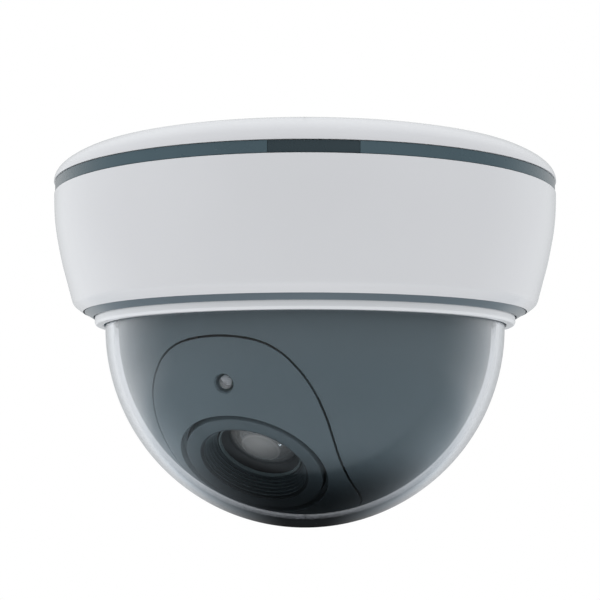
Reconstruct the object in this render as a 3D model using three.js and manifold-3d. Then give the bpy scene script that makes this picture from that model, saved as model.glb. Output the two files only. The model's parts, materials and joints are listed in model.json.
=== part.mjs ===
// A ceiling dome camera: a ceiling base, a drop-off cover with a clear dome, and inside
// it a pan yoke that carries a tilting ball with its lens head. Millimetres, +Z up.
// The origin is the centre of the ceiling face, and -Y is the front of the housing.
import * as THREE from 'three';
import { mergeVertices } from 'three/addons/utils/BufferGeometryUtils.js';
import Module from 'manifold-3d';

const wasm = await Module();
wasm.setup();

// Overall sizes. Heights below are measured from the dome's centre, positive upwards.
const ceilingHeight = 40;
const gap = 0.3;
const housingSides = 48;
const ballSides = 32;
const screwSides = 8;
const holeSides = 12;
const bite = 0.5;

// How the camera head stands: pan to the left of the front, tilt below the horizon.
const panAngle = 25.5;
const lensDip = 51.1;
const lampDip = 19.5;
const lampSide = 1.3;

// Housing.
const shoulderProfile = [
  [51.6, 40], [54.2, 39.3], [56.3, 38.3], [58.0, 37.2], [59.3, 35.9], [59.9, 34.6],
];
const housingRadius = 60;
const shoulderBottom = 33.75;
const spigotOuter = 57.1;
const spigotInner = 55.5;
const spigotBottom = 25.5;
const plateUnderside = 36;
const bandInner = 57.4;
const bandOuter = 59.7;
const bandBottom = 31.2;
const bandTop = 33.45;
const coverOuter = [
  [52.75, 3.3], [54.0, 4.1], [55.1, 5.1], [56.6, 10.2], [58.6, 18.3], [59.75, 25.4],
  [59.9, 30.9],
];
const coverInner = [[57.6, 30.9], [57.6, 25.0], [56.2, 17.5], [54.4, 9.5], [53.6, 6.2]];
const coverFlangeInner = 50.3;
const coverFlangeBottom = 4.6;
const coverFlangeTop = 6.2;

// Dome, its retainer, seal and clamp ring.
const domeOuter = 47.5;
const domeInner = 45.7;
const domeFlange = 48.9;
const domeFlangeBottom = 1.9;
const domeFlangeTop = 3.4;
const retainerProfile = [
  [domeOuter + gap, 0], [49.7, 0], [50, 0.3], [50, 6.5], [53.1, 6.5], [53.1, 8],
  [49.2, 8], [49.2, domeFlangeBottom - gap], [domeOuter + gap, domeFlangeBottom - gap],
];
const lowerTrimProfile = [[50.3, 1.75], [52.45, 3.05], [52.45, 4.3], [50.3, 4.3]];
const sealInner = 46;
const sealBottom = 3.7;
const sealTop = 4.7;
const clampRingProfile = [
  [46, 5], [domeFlange, 5], [domeFlange, 8.3], [53.1, 8.3], [53.1, 9.8], [46, 9.8],
];
const clampBoltCircle = 51.7;
const clampBolts = 3;
const clampHole = 1.1;
const clampScrew = { headRadius: 1.7, headBottom: -11.6, headTop: -10.1, shankRadius: 0.8, tip: -4.9 };

// Ceiling plate fittings.
const inletRadius = 46.5;
const inletHole = 4.6;
const inletBore = 3.25;
const slotRadius = 46.5;
const slotAzimuths = [45, 215, 325];
const slotWidth = 3.8;
const slotLength = 9;
const boardInner = 43;
const boardOuter = 54;
const boardFrom = 112;
const boardTo = 192;
const boardBottom = 24.4;
const boardThickness = 1.6;
const boardHole = 1.3;
const boardHoleRadius = 48.6;
const boardHoleAzimuths = [122, 182];
const boardScrew = { headRadius: 2.3, headBottom: 22.6, shankRadius: 0.9, tip: 32 };
const postRadius = 3;
const postHole = 1.2;
const postHoleTop = 33;
const grommetFlange = 6.2;
const grommetBottom = 34.6;
const terminalAzimuths = { power_terminal: 134, video_terminal: 149 };
const terminalLength = 10.2;
const terminalWidth = 7;
const terminalHeight = 6;
const wireWayOffset = 2.5;
const wireWayHalf = 1.4;
const wireWayBack = -2.2;
const wireWayFront = 6;
const wireWayBottom = 19.5;
const wireWayTop = 22.3;
const capacitorAzimuth = 166;
const capacitorRadius = 3.1;
const capacitorBottom = 17.4;

// Pan bearing and yoke.
const axleRadius = 6;
const axleBottom = 31.4;
const axleBore = 2.2;
const panWasherOuter = 12;
const panSpring = { inner: 2.5, outer: 10.5, bottom: 30.1, top: 31.1 };
const panScrew = { headRadius: 5, headBottom: 28, headTop: 29.8, shankRadius: 1.9, tip: 35.8 };
const tableRadius = 40;
const tableBottom = 31.5;
const tableTop = 33.5;
const tableRim = 1.5;
const tableRimHeight = 0.9;
const tableSlotHalf = 9;
const tableSlotNear = 24;
const tableSlotFar = 29;
const yokeRingInner = 12.5;
const yokeRingOuter = 20.5;
const yokeTop = 31.2;
const yokeSheet = 1.6;
const armWidth = 12;
const armInner = 33.2;
const strapStart = 18;
const yokeScrews = 4;
const yokeScrewRadius = 16.5;
const yokeScrewHole = 1.2;
const yokeScrew = { headRadius: 1.9, headBottom: 27.8, headTop: 29.3, shankRadius: 0.9, tip: 33.2 };
const tiltPinHole = 2.3;
const tiltWasherOuter = 4.2;
const tiltWasherInner = 2.2;
const tiltWasherGap = 0.25;

// Tilting ball.
const ballOuter = 44.4;
const ballInner = 42.6;
const ballRim = 16;
const trunnionFace = 36;
const trunnionBoss = 4.5;
const trunnionBossEnd = 43.2;
const trunnionPilot = 1.7;
const trunnionPilotEnd = 41;
const trunnionScrewProfile = [
  [0, 31.2], [4, 31.2], [4, 32.9], [1.9, 32.9], [1.9, 35.7], [1.4, 35.7], [1.4, 40.5], [0, 40.5],
];
const seamHalf = [
  [6.2, 0], [6.9, 8], [8.7, 14], [12, 18.8], [16, 22], [20, 24.3], [26, 26.4],
  [34, 27.6], [42, 27.6], [50, 27.1], [58, 26.6], [66, 26], [73, 25.2], [79, 23.4],
  [84.5, 20.6], [89, 17], [92.8, 12.5], [95.2, 7], [96, 0],
];
const seamSamples = 48;
const seamHalfGap = 0.3;
const clipPlaces = [[24, 26.1, 0], [24, -26.1, 180], [96, 0, -90]];
const clipHalfLength = 4.5;
const clipHalfWidth = 2.5;
const clipStep = -1.1;
const clipHeights = [40.4, 42, 43];
const clipHole = 1.1;
const clipHoleAt = 2.6;
const clipHoleHeights = [40, 42.5];
const clipPilotHeights = [41, 43.6];
const clipScrew = { headRadius: 1.8, headBottom: 38.7, headTop: 40.1, shankRadius: 0.8, tip: 43.2 };

// Indicator lamp in the cowl, measured outwards from the ball's centre.
const lampPlace = [lampDip, lampSide, 0];
const lampRadius = 1.5;
const lampFlange = 1.85;
const lampHole = 1.9;
const lampHeights = [38.7, 39.7, 43.1];
const lampHoleHeights = [38, 46];
const lampSleeve = { inner: 2.2, outer: 3.2, bottom: 40.6, top: 43.2 };
const lampPost = { radius: 1.4, bottom: 38.7, top: 43.2, offset: 5 };
const lampBoardCorners = [[-7, -1.9, 37.2], [7, 5.5, 38.4]];

// Lens head, measured along the lens axis from the ball's centre.
const headOpening = 16.75;
const bezelRadius = 15.5;
const bezelFace = 41.2;
const baffleOuter = 12;
const baffleInner = 9.9;
const baffleBottom = 37.1;
const baffleSteps = 4;
const headFlange = 17.6;
const headFlangeBottom = 35.5;
const headFlangeTop = 37.9;
const bezelBevel = 0.3;
const throatBottom = 36;
const canTop = 35.2;
const collarInner = 18;
const collarOuter = 19.2;
const collarBottom = 34.2;
const collarProfile = [
  [15.9, 38.3], [collarInner, 38.3], [collarInner, collarBottom], [collarOuter, collarBottom],
  [collarOuter, 39.2], [17.6, 39.5], [15.9, 39.5],
];
const lockRingTop = 35.2;
const canOuter = 13.8;
const canInner = 11.2;
const canBottom = 19.3;
const canBoltCircle = 12.5;
const holderScrews = 4;
const holderScrewHole = 0.95;
const holderScrew = { headRadius: 1.5, headBottom: 13.2, headTop: 14.6, shankRadius: 0.65, tip: 23.2 };
const pilotTop = 23.6;
const chipBoardSide = 27;
const chipBoardHeights = [14.9, 16.5];
const holderHeights = [17, 19];
const holderTube = { outer: 9.4, inner: 7.4, bottom: 18.5, boreBottom: 19.2, top: 28.5 };
const holderWindow = 5.5;
const sensorCorners = [[-5, -5, 16.8], [5, 5, 18.1]];
const filterCorners = [[-4.6, -4.6, 18.4], [4.6, 4.6, 19]];
const connectorCorners = [[-5, -11, 11.4], [5, -6.5, 14.6]];
const barrelProfile = [
  [5.1, 19.6], [7, 19.6], [7, 30], [9.5, 30], [9.5, 36.3], [9.3, 36.6], [9, 36.6],
  [8.05, 34.9], [8.05, 33], [6.2, 33], [6.2, 24], [4.2, 24], [4.2, 23.1], [5.1, 23.1],
];
const frontGlass = { radius: 7.75, bottom: 33.3, edge: 34.6, apex: 37.2, steps: 5 };
const rearGlassProfile = [[0, 20.2], [2.6, 20.5], [4.8, 21.2], [4.8, 22], [2.6, 22.6], [0, 22.8]];
const focusLock = { inner: 7.3, outer: 9.3, bottom: 28.8, top: 29.7 };

// Finishes: colour, roughness, metalness.
const finishes = {
  whiteGloss: [0xd9dcde, 0.25, 0],
  slateBand: [0x2e424e, 0.3, 0],
  greyTrim: [0x6c7780, 0.35, 0],
  whiteLip: [0xe6e8ea, 0.35, 0],
  clear: [0xdfe6ea, 0.05, 0],
  slateLiner: [0x525d66, 0.55, 0],
  blackPlastic: [0x23272b, 0.5, 0],
  rubber: [0x1c1d1f, 0.85, 0],
  steel: [0xa9adb0, 0.35, 0.9],
  zincSheet: [0xb6b9b8, 0.45, 0.8],
  nylon: [0xdad7cc, 0.6, 0],
  circuitBoard: [0x1f5a3a, 0.5, 0],
  chip: [0x26282b, 0.4, 0.1],
  terminal: [0x2f7a4c, 0.45, 0],
  glass: [0x9fb0bd, 0.05, 0],
  filterGlass: [0xa9d0d2, 0.05, 0],
};

const radians = THREE.MathUtils.degToRad;

// Turns a closed three.js geometry into a solid that can be joined and cut.
function solid(geometry) {
  const plain = geometry.clone();
  plain.deleteAttribute('normal');
  plain.deleteAttribute('uv');
  const merged = mergeVertices(plain, 1e-4);
  const corners = merged.index.array;
  const kept = [];
  for (let i = 0; i < corners.length; i += 3) {
    const a = corners[i];
    const b = corners[i + 1];
    const c = corners[i + 2];
    if (a !== b && b !== c && c !== a) {
      kept.push(a, b, c);
    }
  }
  const mesh = new wasm.Mesh({
    numProp: 3,
    vertProperties: Float32Array.from(merged.attributes.position.array),
    triVerts: Uint32Array.from(kept),
  });
  return new wasm.Manifold(mesh);
}

// Makes the named mesh of one finished piece.
function piece(name, shape, finish) {
  const mesh = shape.getMesh();
  const geometry = new THREE.BufferGeometry();
  geometry.setAttribute('position', new THREE.BufferAttribute(mesh.vertProperties, 3));
  geometry.setIndex(new THREE.BufferAttribute(mesh.triVerts, 1));
  geometry.computeVertexNormals();
  const [color, roughness, metalness] = finishes[finish];
  const material = new THREE.MeshStandardMaterial({ color, roughness, metalness });
  const result = new THREE.Mesh(geometry, material);
  result.name = name;
  return result;
}

// Turns a closed profile of [radius, height] points round the Z axis.
function turned(profile, segments = 48) {
  let area = 0;
  profile.forEach(([r, z], i) => {
    const [nextR, nextZ] = profile[(i + 1) % profile.length];
    area += r * nextZ - nextR * z;
  });
  const ordered = area > 0 ? [...profile] : [...profile].reverse();
  const touchesAxis = profile.some(([r]) => r === 0);
  if (touchesAxis) {
    while (!(ordered[0][0] === 0 && ordered[ordered.length - 1][0] === 0)) {
      ordered.push(ordered.shift());
    }
  } else {
    ordered.push(ordered[0]);
  }
  const points = ordered.map(([r, z]) => new THREE.Vector2(r, z));
  const geometry = new THREE.LatheGeometry(points, segments);
  geometry.rotateX(Math.PI / 2);
  return solid(geometry);
}

// A ring or washer between two radii and two heights.
function ring(inner, outer, bottom, top, segments = 48) {
  return turned([[inner, bottom], [outer, bottom], [outer, top], [inner, top]], segments);
}

// An upright round bar at (x, y) between two heights.
function bar(radius, bottom, top, x = 0, y = 0, sides = 20) {
  const geometry = new THREE.CylinderGeometry(radius, radius, top - bottom, sides);
  geometry.rotateX(Math.PI / 2);
  geometry.translate(x, y, (top + bottom) / 2);
  return solid(geometry);
}

// A bar along X between two x positions.
function crossBar(radius, from, to, sides = 20) {
  const geometry = new THREE.CylinderGeometry(radius, radius, to - from, sides);
  geometry.rotateZ(-Math.PI / 2);
  geometry.translate((from + to) / 2, 0, 0);
  return solid(geometry);
}

// A block given by its low and high corners.
function block(low, high) {
  const size = high.map((value, i) => value - low[i]);
  const geometry = new THREE.BoxGeometry(...size);
  geometry.translate(...low.map((value, i) => value + size[i] / 2));
  return solid(geometry);
}

// A screw along Z: a head below a shank, at (x, y).
function screw({ headRadius, headBottom, headTop, shankRadius, tip }, x = 0, y = 0) {
  const profile = [
    [0, headBottom], [headRadius, headBottom], [headRadius, headTop],
    [shankRadius, headTop], [shankRadius, tip], [0, tip],
  ];
  return turned(profile, screwSides).translate([x, y, 0]);
}

// Points on a circle from one angle of elevation to another, in degrees.
function arc(radius, from, to, steps) {
  const points = [];
  for (let i = 0; i <= steps; i += 1) {
    const angle = radians(from + ((to - from) * i) / steps);
    points.push([radius * Math.cos(angle), radius * Math.sin(angle)]);
  }
  return points;
}

// A point on the circle of a radius at an azimuth in degrees.
function polar(radius, azimuth) {
  return [radius * Math.cos(radians(azimuth)), radius * Math.sin(radians(azimuth))];
}

// Evenly spaced places on a circle, starting 45 degrees from the X axis.
function cornerPlaces(count, radius) {
  return Array.from({ length: count }, (_, i) => polar(radius, 45 + (360 / count) * i));
}

// Ceiling base.

function slotCutter(azimuth) {
  const half = (slotLength - slotWidth) / 2;
  const outline = new THREE.Shape();
  outline.absarc(half, 0, slotWidth / 2, -Math.PI / 2, Math.PI / 2, false);
  outline.absarc(-half, 0, slotWidth / 2, Math.PI / 2, (3 * Math.PI) / 2, false);
  const geometry = new THREE.ExtrudeGeometry(outline, {
    depth: 3 * (ceilingHeight - plateUnderside), bevelEnabled: false, curveSegments: 6,
  });
  geometry.rotateZ(radians(azimuth + 90));
  const [x, y] = polar(slotRadius, azimuth);
  geometry.translate(x, y, 2 * plateUnderside - ceilingHeight);
  return solid(geometry);
}

function basePlate() {
  const profile = [
    [0, ceilingHeight], ...shoulderProfile, [housingRadius, shoulderBottom],
    [spigotOuter, shoulderBottom], [spigotOuter, spigotBottom], [spigotInner, spigotBottom],
    [spigotInner, plateUnderside], [0, plateUnderside],
  ];
  let plate = turned(profile, housingSides);
  plate = plate.add(bar(axleRadius, axleBottom, plateUnderside + bite, 0, 0, 32));
  plate = plate.subtract(bar(axleBore, axleBottom - 1, plateUnderside + 0.4));
  for (const azimuth of boardHoleAzimuths) {
    const [x, y] = polar(boardHoleRadius, azimuth);
    const postBottom = boardBottom + boardThickness + gap;
    plate = plate.add(bar(postRadius, postBottom, plateUnderside + bite, x, y));
    plate = plate.subtract(bar(postHole, postBottom - 1, postHoleTop, x, y, holeSides));
  }
  plate = plate.subtract(bar(inletHole, plateUnderside - 1, ceilingHeight + 1, 0, inletRadius, 24));
  for (const azimuth of slotAzimuths) {
    plate = plate.subtract(slotCutter(azimuth));
  }
  return plate;
}

function cableGrommet() {
  const flangeTop = plateUnderside - gap;
  const profile = [
    [inletBore, grommetBottom], [grommetFlange, grommetBottom], [grommetFlange, flangeTop],
    [inletHole - gap, flangeTop], [inletHole - gap, ceilingHeight - gap],
    [inletBore, ceilingHeight - gap],
  ];
  return turned(profile, 24).translate([0, inletRadius, 0]);
}

function mainBoard() {
  const outline = new THREE.Shape();
  outline.absarc(0, 0, boardOuter, radians(boardFrom), radians(boardTo), false);
  outline.absarc(0, 0, boardInner, radians(boardTo), radians(boardFrom), true);
  const geometry = new THREE.ExtrudeGeometry(outline, {
    depth: boardThickness, bevelEnabled: false, curveSegments: 10,
  });
  geometry.translate(0, 0, boardBottom);
  let board = solid(geometry);
  for (const azimuth of boardHoleAzimuths) {
    const [x, y] = polar(boardHoleRadius, azimuth);
    board = board.subtract(bar(boardHole, boardBottom - 1, boardBottom + 3, x, y, holeSides));
  }
  return board;
}

// A part standing under the main board, given as a block about the board's middle line.
function boardBlock(azimuth, length, width, height) {
  const top = boardBottom - gap;
  const shape = block([-width / 2, -length / 2, top - height], [width / 2, length / 2, top]);
  const [x, y] = polar(boardHoleRadius, azimuth);
  return shape.rotate([0, 0, azimuth]).translate([x, y, 0]);
}

function terminal(azimuth) {
  let shape = boardBlock(azimuth, terminalLength, terminalWidth, terminalHeight);
  for (const offset of [-wireWayOffset, wireWayOffset]) {
    const wireWay = block(
      [wireWayBack, offset - wireWayHalf, wireWayBottom],
      [wireWayFront, offset + wireWayHalf, wireWayTop],
    );
    const [x, y] = polar(boardHoleRadius, azimuth);
    shape = shape.subtract(wireWay.rotate([0, 0, azimuth]).translate([x, y, 0]));
  }
  return shape;
}

function baseParts() {
  const capacitorAt = polar(boardHoleRadius, capacitorAzimuth);
  const capacitor = bar(capacitorRadius, capacitorBottom, boardBottom - gap, ...capacitorAt);
  const band = ring(bandInner, bandOuter, bandBottom, bandTop, housingSides);
  const washer = ring(axleRadius + gap, panWasherOuter, tableTop + gap, plateUnderside - gap, 24);
  const spring = ring(panSpring.inner, panSpring.outer, panSpring.bottom, panSpring.top, 24);
  const parts = [
    piece('base_plate', basePlate(), 'whiteGloss'),
    piece('upper_trim_ring', band, 'slateBand'),
    piece('cable_grommet', cableGrommet(), 'rubber'),
    piece('main_board', mainBoard(), 'circuitBoard'),
    piece('power_terminal', terminal(terminalAzimuths.power_terminal), 'terminal'),
    piece('video_terminal', terminal(terminalAzimuths.video_terminal), 'terminal'),
    piece('board_capacitor', capacitor, 'blackPlastic'),
    piece('pan_washer', washer, 'nylon'),
    piece('pan_spring_washer', spring, 'steel'),
    piece('pan_screw', screw(panScrew), 'steel'),
  ];
  boardHoleAzimuths.forEach((azimuth, i) => {
    const [x, y] = polar(boardHoleRadius, azimuth);
    const shape = screw({ ...boardScrew, headTop: boardBottom - gap }, x, y);
    parts.push(piece(`board_screw_${i + 1}`, shape, 'steel'));
  });
  return parts;
}

// Cover with the clear dome.

function coverShell() {
  const profile = [
    ...coverOuter, ...coverInner, [coverFlangeInner, coverFlangeTop],
    [coverFlangeInner, coverFlangeBottom], [52.75, coverFlangeBottom],
  ];
  return withClampHoles(turned(profile, housingSides), coverFlangeBottom - 1, coverFlangeTop + 1);
}

// Cuts the clamp screws' holes between two heights.
function withClampHoles(shape, bottom, top) {
  let result = shape;
  for (let i = 0; i < clampBolts; i += 1) {
    const [x, y] = polar(clampBoltCircle, 90 + (360 / clampBolts) * i);
    result = result.subtract(bar(clampHole, bottom, top, x, y, holeSides));
  }
  return result;
}

function domeRetainer() {
  return withClampHoles(turned(retainerProfile, housingSides), 6, 9);
}

function domeWindow() {
  const profile = [
    ...arc(domeOuter, -90, 0, 10), [domeOuter, domeFlangeBottom], [domeFlange, domeFlangeBottom],
    [domeFlange, domeFlangeTop], [domeInner, domeFlangeTop], ...arc(domeInner, 0, -90, 10),
  ];
  profile[0] = [0, -domeOuter];
  profile[profile.length - 1] = [0, -domeInner];
  return turned(profile, ballSides);
}

function clampRing() {
  return withClampHoles(turned(clampRingProfile, housingSides), 8, 10);
}

function coverParts() {
  const parts = [
    piece('cover_shell', coverShell(), 'whiteGloss'),
    piece('lower_trim_ring', turned(lowerTrimProfile, housingSides), 'greyTrim'),
    piece('dome_retainer', domeRetainer(), 'whiteLip'),
    piece('dome_window', domeWindow(), 'clear'),
    piece('dome_seal', ring(sealInner, domeFlange, sealBottom, sealTop, ballSides), 'rubber'),
    piece('dome_clamp_ring', clampRing(), 'blackPlastic'),
  ];
  for (let i = 0; i < clampBolts; i += 1) {
    const [x, y] = polar(clampBoltCircle, 90 + (360 / clampBolts) * i);
    const shape = screw(clampScrew).rotate([180, 0, 0]).translate([x, y, 0]);
    parts.push(piece(`clamp_screw_${i + 1}`, shape, 'steel'));
  }
  return parts;
}

// Pan turntable and yoke.

function turntable() {
  const profile = [
    [axleRadius + gap, tableBottom], [tableRadius, tableBottom],
    [tableRadius, tableTop + tableRimHeight], [tableRadius - tableRim, tableTop + tableRimHeight],
    [tableRadius - tableRim, tableTop], [axleRadius + gap, tableTop],
  ];
  let table = turned(profile, ballSides);
  for (const at of cornerPlaces(yokeScrews, yokeScrewRadius)) {
    table = table.subtract(bar(yokeScrewHole, tableBottom - 1, tableTop + 1, ...at, holeSides));
  }
  const wireSlot = block(
    [-tableSlotHalf, tableSlotNear, tableBottom - 1],
    [tableSlotHalf, tableSlotFar, tableTop + 1],
  );
  return table.subtract(wireSlot).subtract(wireSlot.rotate([0, 0, 180]));
}

function panYoke() {
  const half = armWidth / 2;
  const bottom = yokeTop - yokeSheet;
  const outer = armInner + yokeSheet;
  let yoke = ring(yokeRingInner, yokeRingOuter, bottom, yokeTop, 32);
  for (const side of [-1, 1]) {
    const near = side * strapStart;
    const far = side * outer;
    const strap = block([Math.min(near, far), -half, bottom], [Math.max(near, far), half, yokeTop]);
    const inside = side * armInner;
    const arm = block([Math.min(inside, far), -half, 0], [Math.max(inside, far), half, yokeTop]);
    const end = crossBar(half, Math.min(inside, far), Math.max(inside, far), 24);
    yoke = yoke.add(strap).add(arm).add(end);
    const hole = crossBar(tiltPinHole, Math.min(inside, far) - 1, Math.max(inside, far) + 1);
    yoke = yoke.subtract(hole);
  }
  for (const at of cornerPlaces(yokeScrews, yokeScrewRadius)) {
    yoke = yoke.subtract(bar(yokeScrewHole, bottom - 1, yokeTop + 1, ...at, holeSides));
  }
  return yoke;
}

function tiltWasher(side) {
  const from = armInner + yokeSheet + tiltWasherGap;
  const washer = crossBar(tiltWasherOuter, from, trunnionFace - tiltWasherGap, 24);
  const bored = washer.subtract(crossBar(tiltWasherInner, from - 1, trunnionFace + 1));
  return side > 0 ? bored : bored.rotate([0, 0, 180]);
}

function panParts() {
  const parts = [
    piece('turntable', turntable(), 'blackPlastic'),
    piece('pan_yoke', panYoke(), 'zincSheet'),
    piece('tilt_washer_right', tiltWasher(1), 'nylon'),
    piece('tilt_washer_left', tiltWasher(-1), 'nylon'),
  ];
  cornerPlaces(yokeScrews, yokeScrewRadius).forEach((at, i) => {
    parts.push(piece(`yoke_screw_${i + 1}`, screw(yokeScrew, ...at), 'steel'));
  });
  return parts;
}

// Tilting ball: the liner shell and the cowl round the lens.

// The direction at an angle of dip below the front horizon and an angle to the side.
function ballDirection(dip, side) {
  const d = radians(dip);
  const s = radians(side);
  return new THREE.Vector3(Math.sin(s), -Math.cos(s) * Math.cos(d), -Math.cos(s) * Math.sin(d));
}

// The cowl's outline in degrees, grown outwards by the given angle.
function seamOutline(grow) {
  const right = seamHalf.map(([dip, side]) => new THREE.Vector2(side, dip));
  const left = seamHalf.slice(1, -1).reverse().map(([dip, side]) => new THREE.Vector2(-side, dip));
  const loop = new THREE.SplineCurve([...right, ...left, right[0]]).getSpacedPoints(seamSamples);
  loop.pop();
  return loop.map((point, i) => {
    const before = loop[(i + seamSamples - 1) % seamSamples];
    const after = loop[(i + 1) % seamSamples];
    const along = after.clone().sub(before).normalize();
    return new THREE.Vector2(point.x + along.y * grow, point.y - along.x * grow);
  });
}

// A solid through the ball wall whose sides run out from the ball's centre.
function seamCutter(grow) {
  const outline = seamOutline(grow);
  if (THREE.ShapeUtils.isClockWise(outline)) {
    outline.reverse();
  }
  const near = 15;
  const far = 130;
  const geometry = new THREE.ExtrudeGeometry(new THREE.Shape(outline), {
    depth: far - near, bevelEnabled: false, curveSegments: 1,
  });
  const places = geometry.attributes.position;
  for (let i = 0; i < places.count; i += 1) {
    const direction = ballDirection(places.getY(i), -places.getX(i));
    direction.multiplyScalar(near + places.getZ(i));
    places.setXYZ(i, direction.x, direction.y, direction.z);
  }
  return solid(geometry);
}

function ballWall() {
  const rimAngle = (radius) => THREE.MathUtils.radToDeg(Math.asin(ballRim / radius));
  const profile = [
    ...arc(ballOuter, -90, rimAngle(ballOuter), 11), ...arc(ballInner, rimAngle(ballInner), -90, 11),
  ];
  profile[0] = [0, -ballOuter];
  profile[profile.length - 1] = [0, -ballInner];
  return turned(profile, ballSides);
}

// Places a shape made along Z so that its Z runs out from the ball's centre at a place
// on the wall, with its X turned by an angle from the sideways direction.
function onWall(shape, [dip, side, turn]) {
  const out = ballDirection(dip, side);
  const across = ballDirection(dip, side + 90);
  const down = new THREE.Vector3().crossVectors(out, across);
  const matrix = new THREE.Matrix4().makeBasis(across, down, out);
  matrix.multiply(new THREE.Matrix4().makeRotationZ(radians(turn)));
  return shape.transform(matrix.elements);
}

function linerShell() {
  let shell = ballWall().subtract(seamCutter(seamHalfGap));
  for (const side of [-1, 1]) {
    const pilot = crossBar(trunnionPilot, trunnionFace - 1, trunnionPilotEnd, holeSides);
    const boss = crossBar(trunnionBoss, trunnionFace, trunnionBossEnd, 24).subtract(pilot);
    shell = shell.add(side > 0 ? boss : boss.rotate([0, 0, 180]));
  }
  const clipPilot = bar(clipHole, ...clipPilotHeights, clipHoleAt, 0, holeSides);
  for (const place of clipPlaces) {
    shell = shell.subtract(onWall(clipPilot, place));
  }
  return shell;
}

function lensCowl() {
  const lensTurn = 90 + lensDip;
  const opening = bar(headOpening, 30, 60, 0, 0, ballSides).rotate([lensTurn, 0, 0]);
  const collar = turned(collarProfile, ballSides).rotate([lensTurn, 0, 0]);
  let cowl = ballWall().intersect(seamCutter(-seamHalfGap));
  cowl = cowl.subtract(opening).add(collar);
  for (const side of [-1, 1]) {
    const { radius, bottom, top, offset } = lampPost;
    cowl = cowl.add(onWall(bar(radius, bottom, top, side * offset, 0, holeSides), lampPlace));
  }
  const sleeve = ring(lampSleeve.inner, lampSleeve.outer, lampSleeve.bottom, lampSleeve.top, 20);
  cowl = cowl.add(onWall(sleeve, lampPlace));
  cowl = cowl.subtract(onWall(bar(lampHole, ...lampHoleHeights, 0, 0, 20), lampPlace));
  for (const place of clipPlaces) {
    cowl = cowl.add(onWall(clipTab(), place));
  }
  return cowl;
}

// A stepped tab that reaches under the liner's edge, with its screw hole.
function clipTab() {
  const [bottom, low, high] = clipHeights;
  const tongue = block(
    [-clipHalfLength, -clipHalfWidth, bottom],
    [clipHalfLength, clipHalfWidth, low],
  );
  const root = block([-clipHalfLength, -clipHalfWidth, bottom], [clipStep, clipHalfWidth, high]);
  return tongue.add(root).subtract(bar(clipHole, ...clipHoleHeights, clipHoleAt, 0, holeSides));
}

function statusLamp() {
  const [bottom, step, shoulder] = lampHeights;
  const profile = [
    [0, bottom], [lampFlange, bottom], [lampFlange, step], [lampRadius, step], [lampRadius, shoulder],
  ];
  const cap = arc(lampRadius, 0, 90, 4).map(([r, z]) => [r, z + shoulder]);
  cap[cap.length - 1] = [0, shoulder + lampRadius];
  return turned([...profile, ...cap.slice(1)], 16);
}

function trunnionScrew(side) {
  return turned(trunnionScrewProfile, 16).rotate([0, 90 * side, 0]);
}

function ballParts() {
  const lockRing = ring(canOuter + gap, collarInner - gap, collarBottom, lockRingTop, ballSides);
  const parts = [
    piece('liner_shell', linerShell(), 'slateLiner'),
    piece('lens_cowl', lensCowl(), 'slateLiner'),
    piece('status_lamp', onWall(statusLamp(), lampPlace), 'clear'),
    piece('lamp_board', onWall(block(...lampBoardCorners), lampPlace), 'circuitBoard'),
    piece('trunnion_screw_right', trunnionScrew(1), 'steel'),
    piece('trunnion_screw_left', trunnionScrew(-1), 'steel'),
    piece('head_lock_ring', lockRing.rotate([90 + lensDip, 0, 0]), 'blackPlastic'),
  ];
  clipPlaces.forEach((place, i) => {
    const shape = onWall(screw(clipScrew, clipHoleAt), place);
    parts.push(piece(`cowl_screw_${i + 1}`, shape, 'steel'));
  });
  return parts;
}

// Lens head, made along Z.

function lensBezel() {
  const stepDown = (bezelFace - baffleBottom) / baffleSteps;
  const stepIn = (baffleOuter - baffleInner) / baffleSteps;
  const profile = [
    [baffleInner, throatBottom], [canInner, canTop], [canInner, canBottom], [canOuter, canBottom],
    [canOuter, headFlangeBottom], [headFlange, headFlangeBottom], [headFlange, headFlangeTop],
    [bezelRadius, headFlangeTop], [bezelRadius, bezelFace - bezelBevel],
    [bezelRadius - bezelBevel, bezelFace], [baffleOuter, bezelFace],
  ];
  for (let i = 0; i < baffleSteps; i += 1) {
    const radius = baffleOuter - stepIn * i;
    const height = bezelFace - stepDown * (i + 1);
    profile.push([radius, height], [radius - stepIn, height]);
  }
  let bezel = turned(profile, ballSides);
  return withHolderHoles(bezel, canBottom - 1, pilotTop);
}

// Cuts the holder screws' holes between two heights.
function withHolderHoles(shape, bottom, top) {
  return cornerPlaces(holderScrews, canBoltCircle).reduce(
    (result, at) => result.subtract(bar(holderScrewHole, bottom, top, ...at, holeSides)),
    shape,
  );
}

function lensHolder() {
  const half = chipBoardSide / 2;
  const [bottom, top] = holderHeights;
  const { outer, inner, boreBottom } = holderTube;
  let holder = block([-half, -half, bottom], [half, half, top]);
  holder = holder.add(bar(outer, holderTube.bottom, holderTube.top, 0, 0, 24));
  holder = holder.subtract(bar(inner, boreBottom, holderTube.top + 1, 0, 0, 24));
  holder = holder.subtract(block(
    [-holderWindow, -holderWindow, bottom - 1],
    [holderWindow, holderWindow, top + 1],
  ));
  return withHolderHoles(holder, bottom - 1, top + 1);
}

function sensorBoard() {
  const half = chipBoardSide / 2;
  const [bottom, top] = chipBoardHeights;
  return withHolderHoles(block([-half, -half, bottom], [half, half, top]), bottom - 1, top + 1);
}

function headParts() {
  const parts = [
    piece('lens_bezel', lensBezel(), 'slateLiner'),
    piece('lens_holder', lensHolder(), 'blackPlastic'),
    piece('sensor_board', sensorBoard(), 'circuitBoard'),
    piece('image_sensor', block(...sensorCorners), 'chip'),
    piece('ir_filter', block(...filterCorners), 'filterGlass'),
    piece('sensor_connector', block(...connectorCorners), 'nylon'),
  ];
  cornerPlaces(holderScrews, canBoltCircle).forEach((at, i) => {
    parts.push(piece(`holder_screw_${i + 1}`, screw(holderScrew, ...at), 'steel'));
  });
  return parts;
}

// Focusing lens, made along Z.

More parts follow.
